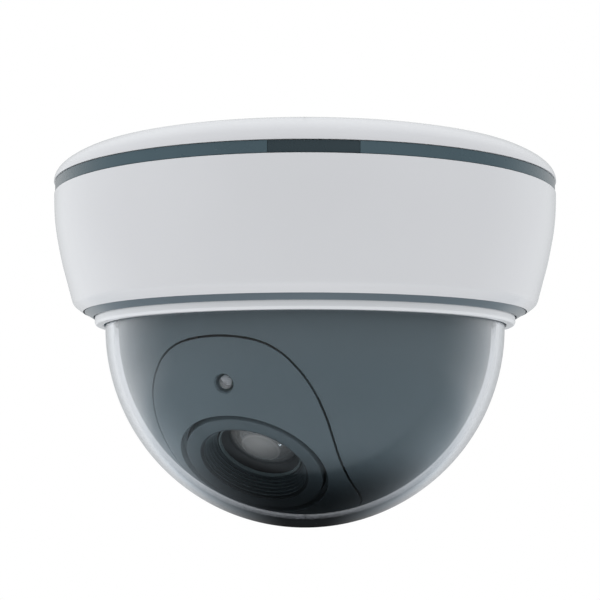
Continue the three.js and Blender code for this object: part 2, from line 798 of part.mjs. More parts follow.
function frontElement() {
  const { radius, bottom, edge, apex, steps } = frontGlass;
  const curve = (radius ** 2 + (apex - edge) ** 2) / (2 * (apex - edge));
  const profile = [[0, bottom], [radius, bottom]];
  for (let i = 0; i <= steps; i += 1) {
    const r = radius * (1 - i / steps);
    profile.push([r, apex - curve + Math.sqrt(curve ** 2 - r ** 2)]);
  }
  return turned(profile, 28);
}

function focusParts() {
  const lockRing = ring(focusLock.inner, focusLock.outer, focusLock.bottom, focusLock.top, 24);
  return [
    piece('lens_barrel', turned(barrelProfile, 28), 'blackPlastic'),
    piece('front_element', frontElement(), 'glass'),
    piece('rear_element', turned(rearGlassProfile, 20), 'glass'),
    piece('focus_lock_ring', lockRing, 'steel'),
  ];
}

const camera = new THREE.Group();
const domeCentred = new THREE.Group();
domeCentred.position.z = -ceilingHeight;
const panned = new THREE.Group();
panned.rotation.z = -radians(panAngle);
panned.add(...panParts(), ...ballParts());
const aimed = new THREE.Group();
aimed.rotation.x = radians(90 + lensDip);
aimed.add(...headParts(), ...focusParts());
panned.add(aimed);
domeCentred.add(...baseParts(), ...coverParts(), panned);
camera.add(domeCentred);

export default camera;
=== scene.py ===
import json
import math

import bmesh
import bpy
import numpy as np
from mathutils import Matrix, Vector


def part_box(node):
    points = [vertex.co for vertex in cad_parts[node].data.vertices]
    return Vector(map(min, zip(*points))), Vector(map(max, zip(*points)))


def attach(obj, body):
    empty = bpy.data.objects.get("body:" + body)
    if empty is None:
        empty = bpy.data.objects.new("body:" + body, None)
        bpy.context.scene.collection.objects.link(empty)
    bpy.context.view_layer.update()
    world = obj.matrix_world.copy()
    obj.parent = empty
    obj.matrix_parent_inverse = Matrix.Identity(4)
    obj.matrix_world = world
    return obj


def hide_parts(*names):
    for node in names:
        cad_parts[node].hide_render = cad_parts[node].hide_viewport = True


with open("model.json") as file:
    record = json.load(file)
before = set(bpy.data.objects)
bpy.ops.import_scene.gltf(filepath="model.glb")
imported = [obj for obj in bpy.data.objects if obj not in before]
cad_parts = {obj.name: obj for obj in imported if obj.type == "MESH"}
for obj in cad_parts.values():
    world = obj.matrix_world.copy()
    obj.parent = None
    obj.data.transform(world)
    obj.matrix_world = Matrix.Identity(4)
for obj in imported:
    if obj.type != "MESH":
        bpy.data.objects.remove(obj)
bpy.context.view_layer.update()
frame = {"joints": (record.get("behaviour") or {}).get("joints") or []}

bl_info = {
    "name": "Ceiling dome camera",
    "version": (1, 0, 0),
    "blender": (4, 5, 0),
    "location": "View3D > Sidebar > Dome camera",
    "description": "Builds the housing, dome, liner ball and lens head of a ceiling dome camera",
    "category": "Add Mesh",
}

MM = 0.001
JOINTS = {joint["name"]: joint for joint in frame["joints"]}
CENTRE = Matrix.Translation((0, 0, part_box("dome_retainer")[0].z))
TILT_AXIS = Vector(JOINTS["tilt"]["axis"])
LENS_AXIS = Vector(JOINTS["lens_roll"]["axis"])
PAN = math.atan2(TILT_AXIS.y, TILT_AXIS.x)
LENS_DIP = math.degrees(math.asin(-LENS_AXIS.z))
PANNED = CENTRE @ Matrix.Rotation(PAN, 4, "Z")
LENS = PANNED @ Matrix.Rotation(math.radians(90 + LENS_DIP), 4, "X")

DOME_OUTER, DOME_INNER = 47.5, 45.7
BALL_OUTER, BALL_INNER, BALL_RIM = 44.4, 42.6, 16.0
LAMP_DIP, LAMP_SIDE = 19.5, 1.3
# Half of the seam round the lens cowl: dip below the front horizon and side angle, in degrees.
SEAM = [
    (6.2, 0), (6.9, 8), (8.7, 14), (12, 18.8), (16, 22), (20, 24.3), (26, 26.4),
    (34, 27.6), (42, 27.6), (50, 27.1), (58, 26.6), (66, 26), (73, 25.2), (79, 23.4),
    (84.5, 20.6), (89, 17), (92.8, 12.5), (95.2, 7), (96, 0),
]
# Places of the clips that hold the cowl: dip, side angle and turn, in degrees.
CLIPS = [(24, 26.1, 0), (24, -26.1, 180), (96, 0, -90)]
# Azimuths of screws, in degrees.
BOARD_SCREWS, CLAMP_SCREWS, CORNERS = (122, 182), (90, 210, 330), (45, 135, 225, 315)
PACK_FINISHES = ("chip", "nylon", "steel")
# The view's turn aside and up from the dome's centre, in degrees.
AIM_SIDE, AIM_UP = 0.19, 1.05
# Height of the floor below the ceiling face, in metres.
FLOOR_DROP = 0.35
# Small lights: name, place, size, power and the one piece that each lights.
LIGHTS = (
    ("lens_light", (0.018, -0.031, -0.317), 0.02, 4.0, "fine_front_element"),
    ("faint_lens_light", (-0.262, -0.03, -0.31), 0.015, 0.06, "fine_front_element"),
    ("lamp_light", (0.155, -0.372, -0.183), 0.08, 1.2, "fine_status_lamp"),
)


def srgb(red, green, blue):
    """Linear colour of an 8-bit screen colour."""
    return tuple(
        (c / 255 / 12.92 if c / 255 <= 0.04045 else ((c / 255 + 0.055) / 1.055) ** 2.4)
        for c in (red, green, blue)
    )


# Sizes and colours that a user would change.


def colour_prop(name, description, rgb):
    return bpy.props.FloatVectorProperty(
        name=name, description=description, default=srgb(*rgb), size=3,
        subtype="COLOR", min=0.0, max=1.0,
    )


class HousingSettings(bpy.types.PropertyGroup):
    white: colour_prop("White", "Colour of the cover and the ceiling base", (226, 227, 230))
    band: colour_prop("Band", "Colour of the dark ring under the base", (76, 97, 106))
    trim: colour_prop("Trim", "Colour of the grey ring under the cover", (104, 117, 126))
    lip: colour_prop("Lip", "Colour of the ring that holds the dome", (236, 238, 241))
    corner: bpy.props.FloatProperty(
        name="Corner", description="Radius of the softened moulded corners",
        default=0.35 * MM, min=0.0, unit="LENGTH", subtype="DISTANCE",
    )
    turned_sides: bpy.props.IntProperty(
        name="Turned sides", description="Facets round the large turned parts",
        default=192, min=24, max=360,
    )


class BallSettings(bpy.types.PropertyGroup):
    slate: colour_prop("Slate", "Colour of the liner ball and the lens cowl", (91, 107, 113))
    seam_gap: bpy.props.FloatProperty(
        name="Seam gap", description="Half the width of the seam round the cowl",
        default=math.radians(0.3), min=0.0, unit="ROTATION", subtype="ANGLE",
    )
    edge: bpy.props.FloatProperty(
        name="Edge", description="Softened edge of the seam",
        default=0.13 * MM, min=0.0, unit="LENGTH", subtype="DISTANCE",
    )
    columns: bpy.props.IntProperty(
        name="Columns", description="Facets round the seam", default=288, min=48, max=400,
    )


class LensSettings(bpy.types.PropertyGroup):
    barrel: colour_prop("Barrel", "Colour of the lens barrel", (30, 32, 34))
    steps: bpy.props.IntProperty(
        name="Baffle steps", description="Number of steps in the baffle cone",
        default=6, min=3, max=12,
    )
    # Colour of the painted reflection in the front glass's haze.
    reflection_tint: colour_prop("Coating", "Tint of the front element's coating", (208, 206, 200))


class StageSettings(bpy.types.PropertyGroup):
    lens: bpy.props.FloatProperty(
        name="Focal length", description="Focal length of the view, on a 36 mm sensor",
        default=90.15, min=20.0, unit="CAMERA",
    )
    distance: bpy.props.FloatProperty(
        name="Distance", description="Distance of the view from the dome's centre",
        default=0.3607, min=0.1, unit="LENGTH", subtype="DISTANCE",
    )
    dip: bpy.props.FloatProperty(
        name="Dip", description="How far below the dome's centre the view stands",
        default=math.radians(4.46), unit="ROTATION", subtype="ANGLE",
    )


# Shader maths.


class Value:
    """A shader socket that Python's operators turn into Math nodes."""

    def __init__(self, tree, socket):
        self.tree, self.socket = tree, socket

    def maths(self, operation, *values):
        node = self.tree.nodes.new("ShaderNodeMath")
        node.operation = operation
        for slot, value in zip(node.inputs, values):
            connect(self.tree, slot, value)
        return Value(self.tree, node.outputs[0])

    def __add__(self, other):
        return self.maths("ADD", self, other)

    def __sub__(self, other):
        return self.maths("SUBTRACT", self, other)

    def __rsub__(self, other):
        return self.maths("SUBTRACT", other, self)

    def __mul__(self, other):
        return self.maths("MULTIPLY", self, other)

    def __truediv__(self, other):
        return self.maths("DIVIDE", self, other)

    def __pow__(self, other):
        return self.maths("POWER", self, other)

    __radd__ = __add__
    __rmul__ = __mul__

    def at_least(self, other):
        return self.maths("MAXIMUM", self, other)

    def at_most(self, other):
        return self.maths("MINIMUM", self, other)

    def ramp(self, low, high, to_low=0.0, to_high=1.0):
        """Self carried smoothly from one range to another and held at its ends."""
        return Shader(self.tree).add(
            "ShaderNodeMapRange", {"interpolation_type": "SMOOTHSTEP"},
            {"Value": self, "From Min": low, "From Max": high, "To Min": to_low, "To Max": to_high},
        )


def connect(tree, slot, value):
    """Puts a link, a colour or a number in a node's input."""
    if isinstance(value, Value):
        tree.links.new(value.socket, slot)
    elif isinstance(value, bpy.types.NodeSocket):
        tree.links.new(value, slot)
    elif hasattr(slot.default_value, "__len__") and len(slot.default_value) == 4 and len(value) == 3:
        slot.default_value = (*value, 1.0)
    else:
        slot.default_value = value


class Shader:
    """Adds nodes to a shader tree."""

    def __init__(self, tree):
        self.tree = tree

    def node(self, kind, settings=None, values=None):
        node = self.tree.nodes.new(kind)
        for key, value in (settings or {}).items():
            if key == "stops":
                ramp = node.color_ramp
                for i, (place, colour) in enumerate(value):
                    stop = ramp.elements[i] if i < 2 else ramp.elements.new(place)
                    stop.position, stop.color = place, (*colour, 1.0)
            else:
                setattr(node, key, value)
        for key, value in (values or {}).items():
            connect(self.tree, node.inputs[key], value)
        return node

    def add(self, kind, settings=None, values=None, out=0):
        return Value(self.tree, self.node(kind, settings, values).outputs[out])

    def place(self):
        return self.add("ShaderNodeTexCoord", out="Object")

    def noise(self, scale, detail=3.0, rough=0.55, vector=None, distortion=0.0):
        return self.add(
            "ShaderNodeTexNoise", None,
            {"Vector": vector or self.place(), "Scale": scale, "Detail": detail,
             "Roughness": rough, "Distortion": distortion},
            out=0,
        )

    def cells(self, scale, vector=None, feature="F1", out="Distance"):
        return self.add(
            "ShaderNodeTexVoronoi", {"feature": feature},
            {"Vector": vector or self.place(), "Scale": scale}, out=out,
        )

    def stretched(self, x, y, z):
        return self.add(
            "ShaderNodeMapping", None, {"Vector": self.place(), "Scale": (x, y, z)}
        )

    def mix(self, factor, first, second):
        return self.add(
            "ShaderNodeMix", {"data_type": "RGBA"}, {0: factor, 6: first, 7: second}, out=2
        )

    def bump(self, height, strength, distance, normal=None):
        values = {"Height": height, "Strength": strength, "Distance": distance}
        if normal is not None:
            values["Normal"] = normal
        return self.add("ShaderNodeBump", None, values)

    def principled(self, values):
        return self.add("ShaderNodeBsdfPrincipled", None, values)

    def finish(self, surface):
        out = self.node("ShaderNodeOutputMaterial")
        self.tree.links.new(surface.socket, out.inputs["Surface"])


def new_material(name):
    material = bpy.data.materials.new(name)
    material.use_nodes = True
    material.node_tree.nodes.clear()
    return material, Shader(material.node_tree)


def shade(colour, factor):
    return tuple(min(1.0, max(0.0, c * factor)) for c in colour)


def moulded(name, colour, rough, coat=0.0, grain=0.25, dust=0.0, variation=0.05, sheen_wave=0.0):
    """Injection-moulded plastic: flow variation, a fine moulded skin, and settled dust."""
    material, s = new_material(name)
    flow = s.noise(18, 4, 0.6)
    skin = s.noise(2600, 3, 0.6)
    dimple = s.noise(420, 2, 0.5)
    tint = s.mix(flow.ramp(0.3, 0.7), shade(colour, 1 - variation), shade(colour, 1 + variation))
    if dust:
        specks = s.cells(1150).ramp(0.05, 0.12, 1.0, 0.0) * s.noise(60, 2).ramp(0.45, 0.7)
        tint = s.mix(specks * dust, tint, (0.62, 0.62, 0.60))
    roughness = rough + (flow - 0.5) * (0.25 * rough) + (dimple - 0.5) * (0.2 * rough)
    wave = s.noise(34, 2, 0.4)
    soft = s.bump(wave, 0.25 * sheen_wave, 0.0006) if sheen_wave else None
    fine = s.bump(skin * 0.4 + dimple * 0.6, grain, 0.00005, soft)
    s.finish(s.principled({
        "Base Color": tint, "Roughness": roughness, "Coat Weight": coat,
        "Coat Roughness": 0.06, "Normal": fine, "IOR": 1.5,
    }))
    return material


def metal(name, colour, rough, lay=0.6):
    """Plated or spun metal with a fine brushed lay and light tarnish."""
    material, s = new_material(name)
    brushed = s.noise(900, 3, 0.6, s.stretched(1, 1, 14))
    tarnish = s.noise(160, 4, 0.6)
    tint = s.mix(tarnish.ramp(0.35, 0.75), colour, shade(colour, 0.72))
    fine = s.bump(brushed, 0.25 * lay, 0.00004)
    s.finish(s.principled({
        "Base Color": tint, "Metallic": 1.0, "Normal": fine,
        "Roughness": rough + (brushed - 0.5) * 0.2 + (tarnish - 0.5) * 0.15,
    }))
    return material


def rubbery(name, colour):
    """Matt rubber with a powdery bloom."""
    material, s = new_material(name)
    bloom = s.noise(220, 5, 0.65)
    tint = s.mix(bloom.ramp(0.4, 0.8), colour, shade(colour, 2.2))
    s.finish(s.principled({
        "Base Color": tint, "Roughness": 0.72 + (bloom - 0.5) * 0.25,
        "Normal": s.bump(s.noise(1800, 3), 0.4, 0.00006),
    }))
    return material


def circuit_board(name):
    """Green solder mask over copper tracks, with tinned pads."""
    material, s = new_material(name)
    tracks = s.add(
        "ShaderNodeTexBrick", {"offset": 0.37, "squash": 1.4, "squash_frequency": 3},
        {"Vector": s.place(), "Scale": 260.0, "Mortar Size": 0.012, "Brick Width": 0.9,
         "Row Height": 0.22, "Color1": (0, 0, 0), "Color2": (0, 0, 0), "Mortar": (1, 1, 1)},
        out="Fac",
    )
    pads = s.cells(430).ramp(0.16, 0.2, 1.0, 0.0) * s.noise(90, 1).ramp(0.52, 0.56)
    mask = s.mix(tracks, (0.012, 0.085, 0.035), (0.03, 0.17, 0.07))
    tint = s.mix(pads, mask, (0.62, 0.6, 0.52))
    s.finish(s.principled({
        "Base Color": tint, "Metallic": pads, "Roughness": 0.36 - pads * 0.1,
        "Coat Weight": 0.3, "Normal": s.bump(tracks * 0.6 + pads, 0.35, 0.00004),
    }))
    return material


def clear_dome(name):
    """Polished polycarbonate with a little dust. Lamps and soft light reach what it covers,
    but near its pole it passes much less of them, which paints shade on the bottom of the ball; the camera
    still sees it clear."""
    material, s = new_material(name)
    motes = s.cells(900).ramp(0.03, 0.07, 1.0, 0.0) * s.noise(45, 2).ramp(0.5, 0.75)
    clear = s.add("ShaderNodeBsdfGlass", None, {"Color": (0.985, 0.99, 1.0), "Roughness": 0.0, "IOR": 1.585})
    film = s.add("ShaderNodeBsdfDiffuse", None, {"Color": (0.7, 0.72, 0.75)})
    dusty = s.add("ShaderNodeMixShader", None, {0: motes * 0.2 + 0.004, 1: clear, 2: film})
    upright = Value(s.tree, s.node("ShaderNodeSeparateXYZ", None, {0: s.place()}).outputs[2])
    bright = s.add("ShaderNodeBsdfTransparent", None, {"Color": (0.95, 0.955, 0.965)})
    # Near the pole lamps and soft light pass at about an eighth: painted shade on the ball below, not a tint
    # the camera sees.
    pole_shade = s.add("ShaderNodeBsdfTransparent", None, {"Color": (0.12, 0.13, 0.14)})
    passed = s.add("ShaderNodeMixShader", None, {0: upright.ramp(-0.083, -0.069), 1: pole_shade, 2: bright})
    rays = s.node("ShaderNodeLightPath").outputs
    soft = Value(s.tree, rays["Is Shadow Ray"]).at_least(Value(s.tree, rays["Is Diffuse Ray"]))
    s.finish(s.add("ShaderNodeMixShader", None, {0: soft, 1: dusty, 2: passed}))
    return material


def lens_radius(s):
    """Distance of a point from the lens axis."""
    parts = s.node("ShaderNodeSeparateXYZ", None, {0: s.place()}).outputs
    x, y, z = (Value(s.tree, part) for part in parts)
    z = z - CENTRE.translation.z
    along = x * LENS_AXIS.x + y * LENS_AXIS.y + z * LENS_AXIS.z
    return (x * x + y * y + z * z - along * along).at_least(0.0) ** 0.5


def lens_glass(name, tint, clear=0.55):
    """Coated optical glass over the dark inside of the barrel. Its haze carries a painted reflection:
    brightest over the aperture, with a thin bright arc round it, darker towards the rim.
    """
    material, s = new_material(name)
    ring = s.noise(300, 2, 0.5)
    reach = lens_radius(s)
    # Painted reflection in the haze's colour: a bright middle over the aperture, a thin bright arc about 4.2
    # mm from the axis, and a darker rim.
    painted_arc_reflection = reach.ramp(0.0038, 0.0042) * reach.ramp(0.0042, 0.0046, 1.0, 0.0)
    bright = reach.ramp(0.003, 0.0054, 0.8, 0.42) * reach.ramp(0.0064, 0.0077, 1.0, 0.4) + painted_arc_reflection * 0.22
    tint = s.mix(bright, (0.0, 0.0, 0.0), tint)
    edge = s.add("ShaderNodeFresnel", None, {"IOR": 1.6})
    through = s.add("ShaderNodeBsdfTransparent", None, {"Color": (0.82, 0.86, 0.9)})
    painted_reflection_haze = s.add("ShaderNodeBsdfDiffuse", None, {"Color": tint})
    body = s.add("ShaderNodeMixShader", None, {0: clear + (ring - 0.5) * 0.1, 1: through, 2: painted_reflection_haze})
    gloss = s.add(
        "ShaderNodeBsdfGlossy", None, {"Color": (0.9, 0.95, 1.0), "Roughness": 0.02}
    )
    s.finish(s.add("ShaderNodeMixShader", None, {0: (edge * 1.3 + 0.03).at_most(1.0), 1: body, 2: gloss}))
    return material


def clear_epoxy(name):
    """Water-clear cast epoxy that lets light reach the contacts inside."""
    material, s = new_material(name)
    ripple = s.bump(s.noise(900, 2, 0.4), 0.1, 0.00005)
    clear = s.add("ShaderNodeBsdfGlass", None, {
        "Color": (0.97, 0.98, 0.985), "Roughness": 0.02, "IOR": 1.52, "Normal": ripple})
    passed = s.add("ShaderNodeBsdfTransparent", None, {"Color": (0.93, 0.94, 0.95)})
    milky = s.add("ShaderNodeBsdfDiffuse", None, {"Color": (0.7, 0.72, 0.73)})
    body = s.add("ShaderNodeMixShader", None, {0: 0.16, 1: clear, 2: milky})
    rays = s.node("ShaderNodeLightPath").outputs
    soft = Value(s.tree, rays["Is Shadow Ray"]).at_least(Value(s.tree, rays["Is Diffuse Ray"]))
    s.finish(s.add("ShaderNodeMixShader", None, {0: soft, 1: body, 2: passed}))
    return material


MATERIALS = {}


def make_materials():
    """All the finishes, by name."""
    housing = bpy.context.scene.dome_housing
    ball = bpy.context.scene.dome_ball
    lens = bpy.context.scene.dome_lens
    m = MATERIALS
    m["white"] = moulded("Gloss white housing", tuple(housing.white), 0.24, 0.5, 0.10, 0.03, 0.012, 0.25)
    m["lip"] = moulded("White dome ring", tuple(housing.lip), 0.3, 0.3, 0.12, 0.0, 0.012)
    m["band"] = moulded("Slate upper band", tuple(housing.band), 0.28, 0.25, 0.15, 0.12, 0.08)
    # The latch finish is the band colour at half brightness: painted shade for the window the latch sits in.
    m["band_latch_shade"] = moulded("Slate band latch shade", shade(tuple(housing.band), 0.5), 0.28, 0.25, 0.15, 0.05, 0.08)
    m["trim"] = moulded("Grey lower trim", tuple(housing.trim), 0.3, 0.4, 0.12, 0.04, 0.04)
    m["slate"] = moulded("Slate liner", tuple(ball.slate), 0.42, 0.15, 0.35, 0.10, 0.06, 0.15)
    m["bezel"] = moulded("Slate lens bezel", shade(tuple(ball.slate), 0.8), 0.4, 0.1, 0.35, 0.05, 0.06)
    # The baffle finish is the slate at a third of its brightness: painted shade in the steps of the lens
    # cone.
    m["baffle"] = moulded("Lens baffle painted shade", shade(tuple(ball.slate), 0.3), 0.6, 0.0, 0.35, 0.05, 0.06)
    m["barrel"] = moulded("Black lens barrel", tuple(lens.barrel), 0.36, 0.1, 0.3, 0.05, 0.1)
    m["satin"] = moulded("Satin lens ring", srgb(112, 128, 131), 0.35, 0.1, 0.15, 0.0, 0.05)
    m["black"] = moulded("Black moulding", srgb(38, 39, 41), 0.5, 0.0, 0.5, 0.08, 0.1)
    m["nylon"] = moulded("Natural nylon", srgb(214, 210, 196), 0.5, 0.0, 0.3, 0.05, 0.05)
    m["terminal"] = moulded("Terminal plastic", srgb(44, 122, 74), 0.45, 0.1, 0.3, 0.05, 0.06)
    m["chip"] = moulded("Chip package", srgb(40, 41, 44), 0.4, 0.1, 0.4, 0.0, 0.1)
    m["rubber"] = rubbery("Black rubber", srgb(30, 31, 32))
    m["steel"] = metal("Plated steel", (0.56, 0.57, 0.58), 0.3)
    m["zinc"] = metal("Galvanised sheet", (0.6, 0.61, 0.6), 0.42, 0.3)
    m["brass"] = metal("Tinned contact", (0.72, 0.6, 0.36), 0.3)
    m["board"] = circuit_board("Circuit board")
    m["dome"] = clear_dome("Clear dome")
    # The front glass's haze carries a painted reflection in this tint.
    m["glass"] = lens_glass("Coated front glass", tuple(lens.reflection_tint))
    m["filter"] = lens_glass("Filter glass", srgb(120, 190, 196))
    m["lamp"] = clear_epoxy("Water-clear lamp")


# Geometry Nodes.


class Geometry:
    """Adds nodes to a geometry tree."""

    def __init__(self, name, sockets):
        self.tree = bpy.data.node_groups.new(name, "GeometryNodeTree")
        for label, kind, default in sockets:
            item = self.tree.interface.new_socket(label, in_out="INPUT", socket_type=kind)
            if default is not None:
                item.default_value = default
        self.tree.interface.new_socket("Geometry", in_out="OUTPUT", socket_type="NodeSocketGeometry")
        self.inputs = self.tree.nodes.new("NodeGroupInput").outputs

    def node(self, kind, settings=None, values=None):
        return Shader.node(self, kind, settings, values)

    def add(self, kind, settings=None, values=None, out=0):
        return Value(self.tree, self.node(kind, settings, values).outputs[out])

    def value(self, label):
        return GeometryValue(self.tree, self.inputs[label])

    def maths(self, operation, *values):
        node = self.tree.nodes.new("ShaderNodeMath")
        node.operation = operation
        for slot, value in zip(node.inputs, values):
            connect(self.tree, slot, value)
        return GeometryValue(self.tree, node.outputs[0])

    def vector(self, x, y, z):
        return self.add("ShaderNodeCombineXYZ", None, {0: x, 1: y, 2: z})

    def box(self, size, place):
        cube = self.add("GeometryNodeMeshCube", None, {"Size": size})
        return self.moved(cube, place)

    def moved(self, geometry, place, turn=None, scale=None):
        values = {"Geometry": geometry, "Translation": place}
        if turn is not None:
            values["Rotation"] = turn
        return self.add("GeometryNodeTransform", None, values)

    def joined(self, *parts):
        node = self.tree.nodes.new("GeometryNodeJoinGeometry")
        for part in parts:
            self.tree.links.new(part.socket, node.inputs[0])
        return Value(self.tree, node.outputs[0])

    def finish(self, geometry, smooth_angle=0.5):
        real = self.add("GeometryNodeRealizeInstances", None, {"Geometry": geometry})
        angle = self.add("GeometryNodeInputMeshEdgeAngle", None, None, out=0)
        sharp = self.add("FunctionNodeCompare", {"data_type": "FLOAT", "operation": "GREATER_THAN"},
                         {0: angle, 1: smooth_angle})
        whole = self.add("GeometryNodeSetShadeSmooth", {"domain": "FACE"},
                         {"Geometry": real, "Shade Smooth": True})
        crisp = self.add("GeometryNodeSetShadeSmooth", {"domain": "EDGE"},
                         {"Geometry": whole, "Selection": sharp, "Shade Smooth": False})
        coated = self.add("GeometryNodeSetMaterial", None,
                          {"Geometry": crisp, "Material": self.inputs["Finish"]})
        out = self.tree.nodes.new("NodeGroupOutput")
        self.tree.links.new(coated.socket, out.inputs[0])
        return self.tree


class GeometryValue(Value):
    """A geometry tree's number, with the same operators."""

    def maths(self, operation, *values):
        made = Value.maths(self, operation, *values)
        return GeometryValue(self.tree, made.socket)


def turned_tree():
    """Turns the object's own chain of points, given in X and Z, round the Z axis."""
    g = Geometry("Turned part", [
        ("Profile", "NodeSocketGeometry", None), ("Sides", "NodeSocketInt", 96),
        ("Finish", "NodeSocketMaterial", None),
    ])
    count = GeometryValue(g.tree, g.node(
        "GeometryNodeAttributeDomainSize", {"component": "MESH"},
        {"Geometry": g.inputs["Profile"]}).outputs["Point Count"])
    rows = g.value("Sides") + 1
    grid = g.add("GeometryNodeMeshGrid", None,
                 {"Size X": 1.0, "Size Y": 1.0, "Vertices X": count, "Vertices Y": rows})
    index = GeometryValue(g.tree, g.node("GeometryNodeInputIndex").outputs[0])
    point = ((index + 0.5) / rows).maths("FLOOR", (index + 0.5) / rows)
    side = index - point * rows
    where = g.add("GeometryNodeInputPosition")
    sample = g.node("GeometryNodeSampleIndex", {"data_type": "FLOAT_VECTOR", "domain": "POINT"},
                    {"Geometry": g.inputs["Profile"], "Value": where, "Index": point})
    parts = g.node("ShaderNodeSeparateXYZ", None, {0: sample.outputs[0]}).outputs
    radius = GeometryValue(g.tree, parts[0])
    angle = side * (2 * math.pi) / g.value("Sides")
    x = radius * angle.maths("COSINE", angle)
    y = radius * angle.maths("SINE", angle)
    moved = g.add("GeometryNodeSetPosition", None,
                  {"Geometry": grid, "Position": g.vector(x, y, parts[2])})
    closed = g.add("GeometryNodeMergeByDistance", None, {"Geometry": moved, "Distance": 2e-6})
    return g.finish(closed)


def screw_tree():
    """Puts a cross-recess screw at each point, pointing along its 'facing' attribute."""
    g = Geometry("Screw set", [
        ("Places", "NodeSocketGeometry", None), ("Head Radius", "NodeSocketFloat", 0.0018),
        ("Head Height", "NodeSocketFloat", 0.0014), ("Shank Radius", "NodeSocketFloat", 0.0008),
        ("Shank Length", "NodeSocketFloat", 0.006), ("Threads", "NodeSocketInt", 8),
        ("Finish", "NodeSocketMaterial", None),
    ])
    head, high = g.value("Head Radius"), g.value("Head Height")
    shank, long = g.value("Shank Radius"), g.value("Shank Length")
    rim = g.add("GeometryNodeMeshCone", {"fill_type": "NGON"},
                {"Vertices": 28, "Radius Top": head, "Radius Bottom": head, "Depth": high * 0.55})
    rim = g.moved(rim, g.vector(0.0, 0.0, high * -0.55))
    crown = g.add("GeometryNodeMeshCone", {"fill_type": "NGON"},
                  {"Vertices": 28, "Radius Top": head, "Radius Bottom": head * 0.72,
                   "Depth": high * 0.45})
    crown = g.moved(crown, g.vector(0.0, 0.0, high * -1.0))
    long_slot = g.vector(head * 1.15, head * 0.26, high * 0.9)
    cross_slot = g.vector(head * 0.26, head * 1.15, high * 0.9)
    deep = g.vector(0.0, 0.0, high * -1.0)
    cross = g.joined(g.box(long_slot, deep), g.box(cross_slot, deep))
    cut = g.add("GeometryNodeMeshBoolean", {"operation": "DIFFERENCE", "solver": "EXACT"},
                {0: g.joined(rim, crown), 1: cross})
    stem = g.add("GeometryNodeMeshCone", {"fill_type": "NGON"},
                 {"Vertices": 16, "Radius Top": shank * 0.8, "Radius Bottom": shank * 0.8, "Depth": long})
    ridge = g.add("GeometryNodeMeshCone", {"fill_type": "NGON"},
                  {"Vertices": 16, "Radius Top": shank * 0.8, "Radius Bottom": shank,
                   "Depth": long / g.value("Threads") * 0.9})
    pitch = long / g.value("Threads")
    line = g.add("GeometryNodeMeshLine", {"mode": "OFFSET"},
                 {"Count": g.value("Threads"), "Start Location": (0, 0, 0),
                  "Offset": g.vector(0.0, 0.0, pitch)})
    threads = g.add("GeometryNodeInstanceOnPoints", None, {"Points": line, "Instance": ridge})
    whole = g.joined(cut, stem, threads)
    facing = g.node("GeometryNodeInputNamedAttribute", {"data_type": "FLOAT_VECTOR"},
                    {"Name": "facing"}).outputs[0]
    turn = g.add("FunctionNodeAlignRotationToVector", {"axis": "Z"}, {"Vector": facing})
    placed = g.add("GeometryNodeInstanceOnPoints", None,
                   {"Points": g.inputs["Places"], "Instance": whole, "Rotation": turn})
    return g.finish(placed)


def ridge_tree():
    """A ring of fine ridges round a turned part."""
    g = Geometry("Ridge ring", [
        ("Base Mesh", "NodeSocketGeometry", None), ("Count", "NodeSocketInt", 60),
        ("Radius", "NodeSocketFloat", 0.0095), ("Width", "NodeSocketFloat", 0.0005),
        ("Proud", "NodeSocketFloat", 0.0003), ("Length", "NodeSocketFloat", 0.004),
        ("Height", "NodeSocketFloat", 0.0), ("Finish", "NodeSocketMaterial", None),
    ])
    ring = g.add("GeometryNodeMeshCircle", None, {"Vertices": g.value("Count"), "Radius": g.value("Radius")})
    lifted = g.moved(ring, g.vector(0.0, 0.0, g.value("Height")))
    width, proud, long = g.value("Width"), g.value("Proud"), g.value("Length")
    ridge = g.add("GeometryNodeMeshCone", {"fill_type": "NGON"},
                  {"Vertices": 4, "Radius Top": width * 0.5, "Radius Bottom": width, "Depth": proud})
    ridge = g.add("GeometryNodeTransform", None,
                  {"Geometry": ridge, "Scale": g.vector(1.0, long / width, 1.0)})
    where = g.add("GeometryNodeInputPosition")
    flat = g.add("ShaderNodeVectorMath", {"operation": "MULTIPLY"}, {0: where, 1: (1, 1, 0)})
    outward = g.add("FunctionNodeAlignRotationToVector", {"axis": "Z"}, {"Vector": flat})
    upright = g.add("FunctionNodeAlignRotationToVector", {"axis": "Y", "pivot_axis": "Z"},
                    {"Rotation": outward, "Vector": (0, 0, 1)})
    placed = g.add("GeometryNodeInstanceOnPoints", None,
                   {"Points": lifted, "Instance": ridge, "Rotation": upright})
    return g.finish(placed)


TREES = {}


def from_nodes(name, base, tree, values):
    """The plain mesh that a geometry tree makes from a base mesh."""
    holder = bpy.data.objects.new(name + "_source", base)
    bpy.context.scene.collection.objects.link(holder)
    modifier = holder.modifiers.new("Shape", "NODES")
    modifier.node_group = TREES[tree]
    for item in TREES[tree].interface.items_tree:
        if item.item_type == "SOCKET" and item.in_out == "INPUT" and item.name in values:
            modifier[item.identifier] = values[item.name]
    graph = bpy.context.evaluated_depsgraph_get()
    mesh = bpy.data.meshes.new_from_object(
        holder.evaluated_get(graph), preserve_all_data_layers=True, depsgraph=graph
    )
    holder.modifiers.remove(modifier)
    bpy.data.objects.remove(holder)
    mesh.name = name
    return mesh


# Mesh helpers.


def volume(mesh):
    bm = bmesh.new()
    bm.from_mesh(mesh)
    amount = bm.calc_volume(signed=True)
    bm.free()
    return amount


def faced_out(mesh):
    if volume(mesh) < 0:
        mesh.flip_normals()
    return mesh


def chain(points):
    """A mesh of [radius, height] points in millimetres, for the turned tree."""
    mesh = bpy.data.meshes.new("profile")
    mesh.from_pydata([(r * MM, 0, z * MM) for r, z in points], [], [])
    return mesh


